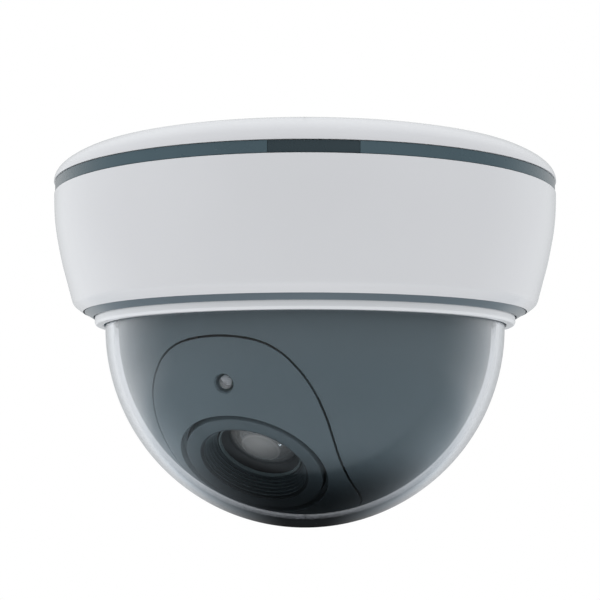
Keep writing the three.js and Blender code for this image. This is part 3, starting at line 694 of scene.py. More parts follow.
def softened(profile, radius=0.3, steps=4, closed=True):
    """The profile with its corners rounded and a support point beside each rounding.
    A point may carry its own corner radius as a third number."""
    points = [Vector((p[0], p[1])) for p in profile]
    own = [p[2] if len(p) > 2 else radius for p in profile]
    result = []
    count = len(points)
    for i, corner in enumerate(points):
        before, after = points[i - 1], points[(i + 1) % count]
        ends = not closed and i in (0, count - 1)
        into, out = corner - before, after - corner
        if ends or own[i] <= 0 or into.length < 1e-6 or out.length < 1e-6:
            result.append(corner)
            continue
        bend = into.angle(out)
        if bend < 0.12:
            result.append(corner)
            continue
        reach = own[i] * math.tan(bend / 2)
        reach = min(reach, into.length * 0.42, out.length * 0.42)
        start = corner - into.normalized() * reach
        end = corner + out.normalized() * reach
        lead = min(0.15, into.length * 0.06), min(0.15, out.length * 0.06)
        result.append(start - into.normalized() * lead[0])
        for k in range(steps + 1):
            t = k / steps
            result.append(start * (1 - t) ** 2 + corner * 2 * t * (1 - t) + end * t * t)
        result.append(end + out.normalized() * lead[1])
    return [(max(0.0, p.x), p.y) for p in result]


def flowing(points, steps=5):
    """Points along a smooth curve through the given points."""
    p = [Vector(q) for q in points]
    p = [p[0] * 2 - p[1], *p, p[-1] * 2 - p[-2]]
    result = []
    for i in range(1, len(p) - 2):
        a, b, c, d = p[i - 1], p[i], p[i + 1], p[i + 2]
        for k in range(steps):
            t = k / steps
            result.append(0.5 * ((2 * b) + (c - a) * t + (2 * a - 5 * b + 4 * c - d) * t * t
                                 + (3 * b - a - 3 * c + d) * t ** 3))
    return [tuple(q) for q in [*result, p[-2]]]


def arc(radius, start, end, steps):
    """[radius, height] points on a circle about the origin, by elevation in degrees."""
    angles = [math.radians(start + (end - start) * i / steps) for i in range(steps + 1)]
    return [(max(0.0, radius * math.cos(a)), radius * math.sin(a)) for a in angles]


def turned(name, profile, finish, sides=96, place=None, on_axis=False):
    """A turned solid. The profile closes on itself, or starts and ends on the axis."""
    points = list(profile) if on_axis else [*profile, profile[0]]
    mesh = from_nodes(name, chain(points), "turned", {"Sides": sides, "Finish": MATERIALS[finish]})
    mesh = faced_out(mesh)
    if place is not None:
        mesh.transform(place)
    return mesh


def cylinder(radius, bottom, top, place=None, sides=48):
    """A round bar along Z in millimetres, for cutting and joining."""
    bm = bmesh.new()
    bmesh.ops.create_cone(
        bm, cap_ends=True, segments=sides, radius1=radius * MM, radius2=radius * MM,
        depth=(top - bottom) * MM,
        matrix=(place or Matrix()) @ Matrix.Translation((0, 0, (top + bottom) / 2 * MM)),
    )
    mesh = bpy.data.meshes.new("cylinder")
    bm.to_mesh(mesh)
    bm.free()
    return mesh


def block(low, high, place=None, bevel=0.0):
    """A box in millimetres with softened edges."""
    bm = bmesh.new()
    bmesh.ops.create_cube(bm, size=1.0)
    size = [(b - a) * MM for a, b in zip(low, high)]
    middle = [(a + b) / 2 * MM for a, b in zip(low, high)]
    for vertex in bm.verts:
        vertex.co = [c * s + m for c, s, m in zip(vertex.co, size, middle)]
    if bevel:
        bmesh.ops.bevel(bm, geom=bm.edges[:], offset=bevel * MM, segments=2, affect="EDGES", profile=0.5)
    if place is not None:
        bmesh.ops.transform(bm, matrix=place, verts=bm.verts)
    mesh = bpy.data.meshes.new("block")
    bm.to_mesh(mesh)
    bm.free()
    return faced_out(mesh)


def combined(mesh, others, operation):
    """A mesh joined with or cut by others, through one Boolean modifier each."""
    body = bpy.data.objects.new("combine", mesh)
    bpy.context.scene.collection.objects.link(body)
    tools = []
    for other in others:
        tool = bpy.data.objects.new("tool", other)
        bpy.context.scene.collection.objects.link(tool)
        tools.append(tool)
        modifier = body.modifiers.new("Cut", "BOOLEAN")
        modifier.object, modifier.operation, modifier.solver = tool, operation, "EXACT"
    graph = bpy.context.evaluated_depsgraph_get()
    result = bpy.data.meshes.new_from_object(body.evaluated_get(graph), depsgraph=graph)
    body.modifiers.clear()
    for thing in [body, *tools]:
        bpy.data.objects.remove(thing)
    return result


def cut(mesh, *others):
    return combined(mesh, others, "DIFFERENCE")


def merged(*meshes):
    """Separate closed shells in one mesh."""
    bm = bmesh.new()
    materials = []
    for mesh in meshes:
        offset = len(bm.faces)
        bm.from_mesh(mesh)
        bm.faces.ensure_lookup_table()
        for face in bm.faces[offset:]:
            own = mesh.materials[face.material_index] if mesh.materials else None
            if own not in materials:
                materials.append(own)
            face.material_index = materials.index(own)
    result = bpy.data.meshes.new("merged")
    bm.to_mesh(result)
    bm.free()
    for material in materials:
        result.materials.append(material)
    return result


def crisp(mesh, angle=32):
    """Smooth shading, with edges sharper than an angle left crisp."""
    bm = bmesh.new()
    bm.from_mesh(mesh)
    for face in bm.faces:
        face.smooth = True
    for edge in bm.edges:
        edge.smooth = len(edge.link_faces) == 2 and edge.calc_face_angle(0) < math.radians(angle)
    bm.to_mesh(mesh)
    bm.free()
    return mesh


def painted(mesh, finish):
    mesh.materials.clear()
    mesh.materials.append(MATERIALS[finish])
    return mesh


def piece(name, mesh, body, nodes):
    """Adds a finished piece that rides on a body and stands for CAD nodes."""
    mesh.name = name
    thing = bpy.data.objects.new("fine_" + name, mesh)
    bpy.context.scene.collection.objects.link(thing)
    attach(thing, body)
    if nodes:
        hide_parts(*nodes)
    return thing


def shift(x, y, z):
    """A move in millimetres."""
    return Matrix.Translation((x * MM, y * MM, z * MM))


def spun(degrees, axis="Z"):
    """A turn about an axis."""
    return Matrix.Rotation(math.radians(degrees), 4, axis)


def numbered(name, count):
    """Node names that end in 1, 2 and so on."""
    return [f"{name}_{i + 1}" for i in range(count)]


def at(radius, azimuth, height=0.0):
    """A move to a radius and azimuth about Z, in millimetres and degrees."""
    angle = math.radians(azimuth)
    return Matrix.Translation((radius * math.cos(angle) * MM, radius * math.sin(angle) * MM, height * MM))


def wall_place(dip, side, turn=0.0):
    """Where Z runs out through the ball's wall at a dip and a side angle, in degrees."""
    out, across = ball_direction(dip, side), ball_direction(dip, side + 90)
    basis = Matrix((across, out.cross(across), out)).transposed().to_4x4()
    return PANNED @ basis @ spun(turn)


def ball_direction(dip, side):
    """The way out from the ball's centre at a dip and a side angle, in degrees."""
    d, s = math.radians(dip), math.radians(side)
    return Vector((math.sin(s), -math.cos(s) * math.cos(d), -math.cos(s) * math.sin(d)))


def screws(name, places, sizes, body, nodes, finish="steel", threads=8):
    """A set of like screws. Each place is a matrix whose Z runs from head to tip, at the
    underside of the head. Sizes are head radius and height, shank radius and length."""
    base = bpy.data.meshes.new("places")
    base.from_pydata([m.translation[:] for m in places], [], [])
    facing = base.attributes.new("facing", "FLOAT_VECTOR", "POINT")
    for entry, m in zip(facing.data, places):
        entry.vector = (m.to_3x3() @ Vector((0, 0, 1))).normalized()
    head, high, shank, long = (s * MM for s in sizes)
    mesh = from_nodes(name, base, "screws", {
        "Head Radius": head, "Head Height": high, "Shank Radius": shank, "Shank Length": long,
        "Threads": threads, "Finish": MATERIALS[finish],
    })
    return piece(name, mesh, body, nodes)


def prism(outline, low, high, place=None, bevel=0.0):
    """An outline in millimetres carried up between two heights."""
    bm = bmesh.new()
    face = bm.faces.new([bm.verts.new((x * MM, y * MM, low * MM)) for x, y in outline])
    top = bmesh.ops.extrude_face_region(bm, geom=[face])
    risen = [v for v in top["geom"] if isinstance(v, bmesh.types.BMVert)]
    bmesh.ops.translate(bm, verts=risen, vec=(0, 0, (high - low) * MM))
    if bevel:
        ends = [e for e in bm.edges if abs(e.verts[0].co.z - e.verts[1].co.z) < 1e-7]
        bmesh.ops.bevel(bm, geom=ends, offset=bevel * MM, segments=2, affect="EDGES", profile=0.5)
    if place is not None:
        bmesh.ops.transform(bm, matrix=place, verts=bm.verts)
    mesh = bpy.data.meshes.new("prism")
    bm.to_mesh(mesh)
    bm.free()
    return faced_out(mesh)


def stadium(length, width, steps=10):
    """A slot's outline with round ends, along Y."""
    half, r = (length - width) / 2, width / 2
    turn = [math.pi * i / steps for i in range(steps + 1)]
    top = [(r * math.cos(a), half + r * math.sin(a)) for a in turn]
    return top + [(-x, -y) for x, y in top]


def sector(inner, outer, start, end, steps=48):
    """The outline of part of a ring between two azimuths in degrees."""
    turn = [math.radians(start + (end - start) * i / steps) for i in range(steps + 1)]
    outside = [(outer * math.cos(a), outer * math.sin(a)) for a in turn]
    inside = [(inner * math.cos(a), inner * math.sin(a)) for a in reversed(turn)]
    return outside + inside


def around(radius, azimuths, height=0.0, flip=False):
    """Places on a circle about the dome's axis, with Z up or, flipped, down."""
    turn = Matrix.Rotation(math.pi, 4, "X") if flip else Matrix()
    return [CENTRE @ at(radius, a, height) @ turn for a in azimuths]


# Ceiling base.


def base_plate(s):
    shoulder = flowing([(51.6, 40), (54.2, 39.3), (56.3, 38.3), (58.0, 37.2), (59.3, 35.9),
                        (59.9, 34.6), (60, 33.7)], 4)
    profile = [
        (0, 40), *shoulder[:-1], (60, 33.7, 0.18), (57.1, 33.7, 0.2), (57.1, 25.5), (55.5, 25.5),
        (55.5, 36, 0.8), (9, 36, 0.8), (6, 33.2, 1.2), (6, 31.4), (2.2, 31.4), (2.2, 35.6), (0, 35.6),
    ]
    mesh = turned("base_plate", softened(profile, s.corner / MM, closed=False), "white",
                  s.turned_sides, on_axis=True)
    posts = [cylinder(3, 26.3, 36.4, at(48.6, a)) for a in BOARD_SCREWS]
    ribs = [
        block((42, -0.6, 33.6), (55.8, 0.6, 36.3), spun(a))
        for a in (0, 22.5, 67.5, 240, 262.5, 285, 300, 345)
    ]
    mesh = combined(mesh, posts + ribs, "UNION")
    holes = [cylinder(1.0, 25, 33, at(48.6, a), 20) for a in BOARD_SCREWS]
    holes.append(cylinder(4.6, 35, 41, at(46.5, 90)))
    slots = [
        prism(stadium(9, 3.8), 32, 41,
              spun(a) @ shift(46.5, 0, 0))
        for a in (45, 215, 325)
    ]
    pockets = [
        prism(sector(27, 38, a + 4, a + 56), 39.2, 41) for a in (0, 60, 120, 180, 240, 300)
    ]
    mesh = crisp(painted(cut(mesh, *holes, *slots, *pockets), "white"))
    mesh.transform(CENTRE)
    return piece("base_plate", mesh, "base", ["base_plate"])


def upper_band(s):
    profile = [(57.4, 31.0), (59.7, 31.0, 0.15), (59.7, 33.62, 0.15), (57.4, 33.62)]
    mesh = turned("upper_band", softened(profile, 0.15), "band", s.turned_sides)
    latch = sector(58.6, 61, -97.4, -79.1)
    joint = block((58.9, -0.07, 30), (61, 0.07, 34), spun(-165.5))
    mesh = crisp(painted(cut(mesh, prism(latch, 30, 35), joint), "band"))
    mesh.transform(CENTRE)
    piece("upper_trim_ring", mesh, "base", ["upper_trim_ring"])
    # The latch fills the band's window in a half-bright copy of the band colour, painted shade.
    key = painted(prism(sector(58.65, 59.6, -97.36, -79.14), 31.03, 33.59, CENTRE, 0.08), "band_latch_shade")
    piece("band_latch", crisp(key), "base", [])


def grommet(s):
    profile = [
        (3.25, 34.6, 0.4), (6.2, 34.6, 0.4), (6.2, 35.7, 0.3), (4.3, 35.7, 0.3), (4.3, 36.6),
        (4.1, 36.8), (4.1, 38.9), (4.3, 39.1), (4.3, 39.7), (3.25, 39.7, 0.3), (3.25, 38.2),
        (3.45, 37.9), (3.45, 36.6), (3.25, 36.3),
    ]
    mesh = turned("cable_grommet", softened(profile, 0.15), "rubber", 64, CENTRE @ at(46.5, 90))
    piece("cable_grommet", mesh, "base", ["cable_grommet"])


def terminal(name, azimuth):
    """A two-way screw terminal under the main board."""
    place = CENTRE @ spun(azimuth) @ shift(48.6, 0, 0)
    body = prism([(-3.5, 18.1), (2.2, 18.1), (3.5, 20.0), (3.5, 24.1), (-3.5, 24.1)], -5.1, 5.1,
                 Matrix.Rotation(math.pi / 2, 4, "X"), 0.2)
    ways = [block((-2.2, y - 1.4, 19.5), (6, y + 1.4, 22.3)) for y in (-2.5, 2.5)]
    wells = [cylinder(1.5, 16, 19, shift(-0.3, y, 0), 28) for y in (-2.5, 2.5)]
    body = crisp(painted(cut(body, *ways, *wells), "terminal"))
    body.transform(place)
    piece(name, body, "base", [name])
    flip = Matrix.Rotation(math.pi, 4, "X")
    heads = [place @ shift(-0.3, y, 19.0) for y in (-2.5, 2.5)]
    screws(name + "_screws", heads, (1.35, 0.8, 0.6, 0.3), "base", [], threads=1)
    clamps = merged(*[block((-1.9, y - 1.2, 19.8), (2.4, y + 1.2, 20.5), place, 0.08) for y in (-2.5, 2.5)])
    piece(name + "_clamps", crisp(painted(clamps, "brass")), "base", [])


def board_parts(name, places, body):
    """Small packages on a board. Each place is (matrix, size, finish index)."""
    shells = [painted(block((-x / 2, -y / 2, 0), (x / 2, y / 2, z), m, 0.06), finish)
              for m, (x, y, z), finish in places]
    return piece(name, crisp(merged(*shells)), body, [])


def main_board(s):
    outline = sector(43, 54, 112, 192, 80)
    mesh = prism(outline, 24.4, 26.0, None, 0.08)
    holes = [cylinder(1.3, 23, 28, at(48.6, a), 24) for a in BOARD_SCREWS]
    mesh = crisp(painted(cut(mesh, *holes), "board"))
    mesh.transform(CENTRE)
    piece("main_board", mesh, "base", ["main_board"])
    for name, azimuth in (("power_terminal", 134), ("video_terminal", 149)):
        terminal(name, azimuth)
    can = [(0, 17.4, 0), (2.3, 17.4, 0.2), (2.75, 17.55, 0.3), (3.1, 18.0, 0.3), (3.1, 22.5, 0.2),
           (2.85, 22.9, 0.2), (3.1, 23.3, 0.2), (3.1, 24.1, 0.3), (0, 24.1, 0)]
    shape = turned("capacitor", softened(can, 0.2, closed=False), "black", 48, on_axis=True)
    vents = [block((-1.7, -0.1, 17), (1.7, 0.1, 17.55), Matrix.Rotation(a, 4, "Z")) for a in (0, math.pi / 2)]
    shape = crisp(painted(cut(shape, *vents), "black"))
    shape.transform(CENTRE @ at(48.6, 166))
    piece("board_capacitor", shape, "base", ["board_capacitor"])
    down = Matrix.Rotation(math.pi, 4, "X")
    small = ((1.6, 0.8, 0.5), (0.8, 1.6, 0.6), (2.0, 1.2, 0.5))
    packs = []
    for i in range(34):
        azimuth, radius = 116 + (i * 37) % 71, 44.6 + (i * 29 % 17) * 0.5
        if any(abs(azimuth - a) < gap for a, gap in ((122, 4), (134, 8.5), (149, 8.5), (166, 5), (182, 4))):
            continue
        place = CENTRE @ at(radius, azimuth, 24.4) @ spun(azimuth) @ down
        packs.append((place, small[i % 3], PACK_FINISHES[i % 3]))
    for azimuth, size in ((174.5, (4.2, 3.4, 1.1)), (157.8, (3.2, 3.2, 1.0)), (127.7, (2.4, 2.0, 1.0))):
        place = CENTRE @ at(48.6, azimuth, 24.4) @ spun(azimuth) @ down
        packs.append((place, size, "chip"))
    board_parts("main_board_parts", packs, "base")
    heads = around(48.6, BOARD_SCREWS, 24.1)
    screws("board_screws", heads, (2.3, 1.5, 0.9, 7.8), "base", numbered("board_screw", 2), threads=9)


def pan_bearing(s):
    washer = softened([(6.3, 33.8), (12, 33.8), (12, 35.7), (6.3, 35.7)], 0.3)
    piece("pan_washer", turned("pan_washer", washer, "nylon", 96, CENTRE), "base", ["pan_washer"])
    wave = softened([(2.5, 30.1), (10.5, 30.3), (10.5, 31.0), (2.5, 31.1)], 0.12)
    piece("pan_spring_washer", turned("pan_spring_washer", wave, "steel", 96, CENTRE), "base",
          ["pan_spring_washer"])
    screws("pan_screw", [CENTRE @ shift(0, 0, 29.8)], (5, 1.8, 1.9, 6.0), "base",
           ["pan_screw"], threads=8)


# Cover with the clear dome.


def cover_shell(s):
    outer = flowing([(52.75, 3.05), (54.0, 3.95), (55.1, 5.05), (55.75, 7.1), (56.6, 10.2), (57.7, 14.2),
                     (58.6, 18.3), (59.35, 22.4), (59.75, 26.4), (59.9, 30.9)], 4)
    profile = [
        (52.75, 3.05, 0.15), *outer[1:-1], (59.9, 30.92, 0.22), (57.6, 30.9, 0.3), (57.6, 25.0),
        (56.2, 17.5), (54.4, 9.5), (53.6, 6.2, 0.6), (50.3, 6.2, 0.2), (50.3, 4.6, 0.2), (52.75, 4.6, 0.3),
    ]
    mesh = turned("cover_shell", softened(profile, s.corner / MM), "white", s.turned_sides)
    holes = [cylinder(1.1, 3.6, 7, at(51.7, a), 24) for a in CLAMP_SCREWS]
    mesh = crisp(painted(cut(mesh, *holes), "white"))
    mesh.transform(CENTRE)
    piece("cover_shell", mesh, "cover", ["cover_shell"])


def cover_rings(s):
    trim = softened([(50.3, 1.75, 0.15), (52.45, 3.05, 0.35), (52.45, 4.3), (50.3, 4.3)], 0.2)
    piece("lower_trim_ring", turned("lower_trim_ring", trim, "trim", s.turned_sides, CENTRE), "cover",
          ["lower_trim_ring"])
    lip = softened([(47.8, 0, 0.3), (49.7, 0, 0.5), (50, 0.6, 0.3), (50, 6.5, 0.4), (53.1, 6.5), (53.1, 8),
                    (49.2, 8), (49.2, 1.6), (47.8, 1.6, 0.2)], 0.25)
    clamp = softened([(46, 5), (48.9, 5), (48.9, 8.3), (53.1, 8.3), (53.1, 9.8), (46, 9.8)], 0.3)
    for name, profile, finish, slot, low in (
        ("dome_retainer", lip, "lip", "white_lip", 6),
        ("dome_clamp_ring", clamp, "black", "black_plastic", 8),
    ):
        mesh = turned(name, profile, finish, s.turned_sides)
        holes = [cylinder(1.1, low, 10.5, at(51.7, a), 24) for a in CLAMP_SCREWS]
        mesh = crisp(painted(cut(mesh, *holes), finish))
        mesh.transform(CENTRE)
        piece(name, mesh, "cover", [name])
    seal = softened([(46, 3.7, 0.45), (48.9, 3.7, 0.45), (48.9, 4.7, 0.45), (46, 4.7, 0.45)], 0.4)
    piece("dome_seal", turned("dome_seal", seal, "rubber", s.turned_sides, CENTRE), "cover", ["dome_seal"])
    places = around(51.7, CLAMP_SCREWS, 10.1, True)
    screws("clamp_screws", places, (1.7, 1.4, 0.8, 5.0), "cover", numbered("clamp_screw", 3), threads=8)


def dome_window(s):
    profile = [
        *arc(DOME_OUTER, -90, 0, 72), (DOME_OUTER, 1.9), (48.9, 1.9), (48.9, 3.4), (DOME_INNER, 3.4),
        *arc(DOME_INNER, 0, -90, 72),
    ]
    mesh = turned("dome_window", profile, "dome", s.turned_sides, CENTRE, on_axis=True)
    piece("dome_window", mesh, "cover", ["dome_window"])


# Pan turntable and yoke.


def turntable(s):
    profile = [
        (6.3, 31.5), (14, 31.5, 0.3), (14.4, 31.8), (24.5, 31.8), (24.9, 31.5), (40, 31.5, 0.4), (40, 34.4),
        (38.5, 34.4), (38.5, 33.5, 0.5), (6.3, 33.5),
    ]
    mesh = turned("turntable", softened(profile, 0.25), "black", s.turned_sides)
    holes = [cylinder(0.85, 30, 35, at(16.5, a), 20) for a in CORNERS]
    windows = [block((-9, y - 2.5, 30), (9, y + 2.5, 35)) for y in (-26.5, 26.5)]
    mesh = crisp(painted(cut(mesh, *holes, *windows), "black"))
    mesh.transform(PANNED)
    piece("turntable", mesh, "pan", ["turntable"])
    empty = bpy.data.meshes.new("none")
    teeth = from_nodes("turntable_teeth", empty, "ridges", {
        "Count": 180, "Radius": 39.95 * MM, "Width": 0.7 * MM, "Proud": 0.5 * MM, "Length": 2.4 * MM,
        "Height": 32.95 * MM, "Finish": MATERIALS["black"],
    })
    teeth.transform(PANNED)
    piece("turntable_teeth", teeth, "pan", [])


def yoke_arm(side):
    """One bent arm of the yoke: a folded strip, rounded at its foot."""
    turn = [math.radians(a) for a in range(0, 91, 15)]
    outside = [(34.8 - 2.4 + 2.4 * math.cos(a), 31.2 - 2.4 + 2.4 * math.sin(a)) for a in turn]
    inside = [(34.8 - 2.4 + 0.8 * math.cos(a), 31.2 - 2.4 + 0.8 * math.sin(a)) for a in reversed(turn)]
    folded = prism([(34.8, -7), *outside, (16.5, 31.2), (16.5, 29.6), *inside, (33.2, -7)], -6, 6,
                   Matrix.Rotation(math.pi / 2, 4, "X"), 0.12)
    foot = [(6 * math.cos(a), 6 * math.sin(a)) for a in [math.radians(180 + 180 * i / 20) for i in range(21)]]
    tall = Matrix(((0, 0, 1, 0), (1, 0, 0, 0), (0, 1, 0, 0), (0, 0, 0, 1)))
    outline = prism([*foot, (6, 40), (-6, 40)], 10, 40, tall)
    arm = combined(folded, [outline], "INTERSECT")
    arm = cut(arm, cylinder(2.3, 30, 38, Matrix.Rotation(math.pi / 2, 4, "Y")),
              prism(stadium(9, 3.2), 30, 38, tall @ shift(0, 15, 0)))
    if side < 0:
        arm.transform(Matrix.Rotation(math.pi, 4, "Z"))
    return arm


def pan_yoke(s):
    profile = softened([(12.5, 29.6), (20.5, 29.6), (20.5, 31.2), (12.5, 31.2)], 0.12)
    plate = turned("yoke", profile, "zinc", 96)
    yoke = combined(plate, [yoke_arm(1), yoke_arm(-1)], "UNION")
    holes = [cylinder(1.2, 28, 33, at(16.5, a), 24) for a in CORNERS]
    yoke = crisp(painted(cut(yoke, *holes), "zinc"))
    yoke.transform(PANNED)
    piece("pan_yoke", yoke, "pan", ["pan_yoke"])
    for side, label in ((1, "right"), (-1, "left")):
        profile = softened([(2.2, 35.05), (4.2, 35.05), (4.2, 35.75), (2.2, 35.75)], 0.15)
        place = PANNED @ spun(90 * side, "Y")
        washer = turned("tilt_washer_" + label, profile, "nylon", 48, place)
        piece("tilt_washer_" + label, washer, "pan", ["tilt_washer_" + label])
    places = [PANNED @ at(16.5, a, 29.3) for a in CORNERS]
    screws("yoke_screws", places, (1.9, 1.5, 0.9, 3.8), "pan", numbered("yoke_screw", 4), threads=5)


# Tilting ball.


def seam_columns(count, grow):
    """The seam's angle from the lens axis at evenly spaced turns about it, in radians.
    Grow moves the outline outwards by an angle."""
    half = [(side, dip) for dip, side in SEAM]
    loop = half + [(-side, dip) for side, dip in reversed(half[1:-1])]
    smooth = flowing(loop[-2:] + loop + loop[:3], 16)[32:-32]
    points = np.array(smooth)
    step = np.roll(points, -3, 0) - np.roll(points, 3, 0)
    step /= np.linalg.norm(step, axis=1)[:, None]
    middle = points.mean(0)
    normal = np.stack([step[:, 1], -step[:, 0]], 1)
    outwards = np.sign(((points - middle) * normal).sum(1).mean())
    points = points + normal * outwards * math.degrees(grow)
    directions = np.array([ball_direction(dip, side) for side, dip in points])
    turn_back = np.array((Matrix.Rotation(math.radians(90 + LENS_DIP), 3, "X")).transposed())
    local = directions @ turn_back.T
    away = np.arccos(np.clip(local[:, 2], -1, 1))
    turn = np.unwrap(np.arctan2(local[:, 1], local[:, 0]))
    if turn[-1] < turn[0]:
        away, turn = away[::-1], turn[::-1]
    wanted = turn[0] + (np.arange(count) * 2 * math.pi / count)
    found = np.interp(wanted, np.append(turn, turn[0] + 2 * math.pi), np.append(away, away[0]))
    return wanted, found


def swept(name, sections, turns, finish):
    """A closed tube: each section is a loop of [radius, height] about the lens axis."""
    rows, count = len(sections[0]), len(sections)
    points, faces = [], []
    for section, turn in zip(sections, turns):
        c, s = math.cos(turn), math.sin(turn)
        points.extend((r * c * MM, r * s * MM, h * MM) for r, h in section)
    for i in range(count):
        j = (i + 1) % count
        for k in range(rows):
            n = (k + 1) % rows
            faces.append((i * rows + k, i * rows + n, j * rows + n, j * rows + k))
    mesh = bpy.data.meshes.new(name)
    mesh.from_pydata(points, [], faces)
    mesh = faced_out(mesh)
    mesh.transform(spun(90 + LENS_DIP, "X"))
    return painted(mesh, finish)


def wall_points(radius, start, end, steps):
    """[radius, height] points on the ball between two angles from the lens axis."""
    angles = [start + (end - start) * i / steps for i in range(steps + 1)]
    return [(radius * math.sin(a), radius * math.cos(a)) for a in angles]


def edge_round(first, corner, last, size, steps=3):
    """Points that round a corner between two neighbours."""
    c, a, b = Vector(corner), Vector(first), Vector(last)
    start = c + (a - c).normalized() * size
    end = c + (b - c).normalized() * size
    return [tuple(start * (1 - t) ** 2 + c * 2 * t * (1 - t) + end * t * t)
            for t in (i / steps for i in range(steps + 1))]


def rim_angle(turn, radius):
    """The angle from the lens axis at which the ball's wall meets its upper rim."""
    tilt = math.radians(90 + LENS_DIP)
    up = Vector((0, math.sin(tilt), math.cos(tilt)))
    across = up.x * math.cos(turn) + up.y * math.sin(turn)
    reach = math.hypot(across, up.z)
    return math.atan2(across, up.z) % (2 * math.pi) - math.acos(BALL_RIM / radius / reach)


def spherical(mesh, tolerance=2e-6):
    """Gives the ball's outer and inner faces the normals of a true sphere."""
    corner = np.zeros(len(mesh.loops) * 3)
    mesh.corner_normals.foreach_get("vector", corner)
    corner = corner.reshape(-1, 3)
    places = np.zeros(len(mesh.vertices) * 3)
    mesh.vertices.foreach_get("co", places)
    places = places.reshape(-1, 3)
    length = np.linalg.norm(places, axis=1)
    for radius, sign in ((BALL_OUTER * MM, 1), (BALL_INNER * MM, -1)):
        on = np.abs(length - radius) < tolerance
        for face in mesh.polygons:
            if all(on[v] for v in face.vertices):
                for loop, vertex in zip(face.loop_indices, face.vertices):
                    corner[loop] = places[vertex] / length[vertex] * sign
    mesh.normals_split_custom_set(corner.tolist())
    return mesh


def liner_shell(s):
    turns, starts = seam_columns(s.columns, s.seam_gap)
    edge = s.edge / MM
    sections = []
    for turn, start in zip(turns, starts):
        out_end, in_end = rim_angle(turn, BALL_OUTER), rim_angle(turn, BALL_INNER)
        lead = edge * 1.6 / BALL_OUTER
        outer = wall_points(BALL_OUTER, start + lead, out_end - lead, 56)
        inner = wall_points(BALL_INNER, in_end - lead, start + lead, 40)
        corner_out = wall_points(BALL_OUTER, start, out_end, 1)
        corner_in = wall_points(BALL_INNER, start, in_end, 1)
        sections.append([
            *edge_round(corner_in[0], corner_out[0], outer[0], edge), *outer,
            *edge_round(outer[-1], corner_out[1], corner_in[1], edge),
            *edge_round(corner_out[1], corner_in[1], inner[0], edge), *inner,
            *edge_round(inner[-1], corner_in[0], corner_out[0], edge),
        ])
    mesh = swept("liner_shell", sections, turns, "slate")
    bosses, bores = [], []
    for side in (1, -1):
        turn = spun(90 * side, "Y")
        bosses.append(cylinder(4.5, 36, 43.2, turn))
        bores.append(cylinder(1.55, 35, 41, turn, 24))
    mesh = combined(mesh, bosses, "UNION")
    clip_holes = [wall_local(*p) for p in CLIPS]
    bores.extend(cylinder(1.1, 41, 43.6, m @ shift(2.6, 0, 0), 20) for m in clip_holes)
    mesh = spherical(crisp(painted(cut(mesh, *bores), "slate")))
    mesh.transform(PANNED)
    piece("liner_shell", mesh, "ball", ["liner_shell"])


def wall_local(dip, side, turn=0.0):
    """A place on the ball's wall before the ball is panned and centred."""
    return PANNED.inverted() @ wall_place(dip, side, turn)


def lens_cowl(s):
    turns, ends = seam_columns(s.columns, -s.seam_gap)
    edge = s.edge / MM
    opening = 16.75
    start_out = math.asin(opening / BALL_OUTER)
    start_in = math.asin(18.8 / BALL_INNER)
    lip = [(opening, 39.5), (15.9, 39.5), (15.9, 38.3), (18.0, 38.3), (18.0, 34.2), (18.8, 34.2)]
    sections = []
    for turn, end in zip(turns, ends):
        lead = edge * 1.6 / BALL_OUTER
        outer = wall_points(BALL_OUTER, end - lead, start_out + lead * 0.8, 26)
        inner = wall_points(BALL_INNER, start_in, end - lead, 20)
        corner_out = wall_points(BALL_OUTER, end, start_out, 1)
        corner_in = wall_points(BALL_INNER, end, start_in, 1)
        sections.append([
            *edge_round(corner_in[0], corner_out[0], outer[0], edge), *outer,
            *edge_round(outer[-1], corner_out[1], lip[0], edge * 0.8), *softened(lip, 0.15, 2, closed=False),
            *inner, *edge_round(inner[-1], corner_in[0], corner_out[0], edge),
        ])
    mesh = swept("lens_cowl", sections, turns, "slate")
    lamp = wall_local(LAMP_DIP, LAMP_SIDE)
    studs = [cylinder(1.4, 38.7, 43.2, lamp @ shift(x, 0, 0), 24) for x in (-5, 5)]
    studs.append(cylinder(3.2, 40.6, 43.2, lamp, 40))
    for place in (wall_local(*p) for p in CLIPS):
        step = block((-4.5, -2.5, 40.4), (-1.1, 2.5, 43))
        tab = combined(block((-4.5, -2.5, 40.4), (4.5, 2.5, 42)), [step], "UNION")
        tab = cut(tab, cylinder(0.85, 40, 42.5, shift(2.6, 0, 0), 20))
        tab.transform(place)
        studs.append(tab)
    mesh = combined(mesh, studs, "UNION")
    bore = cylinder(2.1, 38, 43.9, lamp, 48)
    flare = cylinder(2.1, 0, 1, None, 48)
    for vertex in flare.vertices:
        wide = 2.5 if vertex.co.z > 0.5 * MM else 2.0
        flat = Vector((vertex.co.x, vertex.co.y, 0)).normalized() * wide * MM
        vertex.co = (flat.x, flat.y, (44.75 if wide > 2 else 43.85) * MM)
    flare.transform(lamp)
    mesh = spherical(crisp(painted(cut(mesh, bore, flare), "slate")))
    mesh.transform(PANNED)
    piece("lens_cowl", mesh, "ball", ["lens_cowl"])
    places = [wall_place(*p) @ shift(2.6, 0, 40.1) for p in CLIPS]
    screws("cowl_screws", places, (1.8, 1.4, 0.8, 3.0), "ball", numbered("cowl_screw", 3), threads=5)


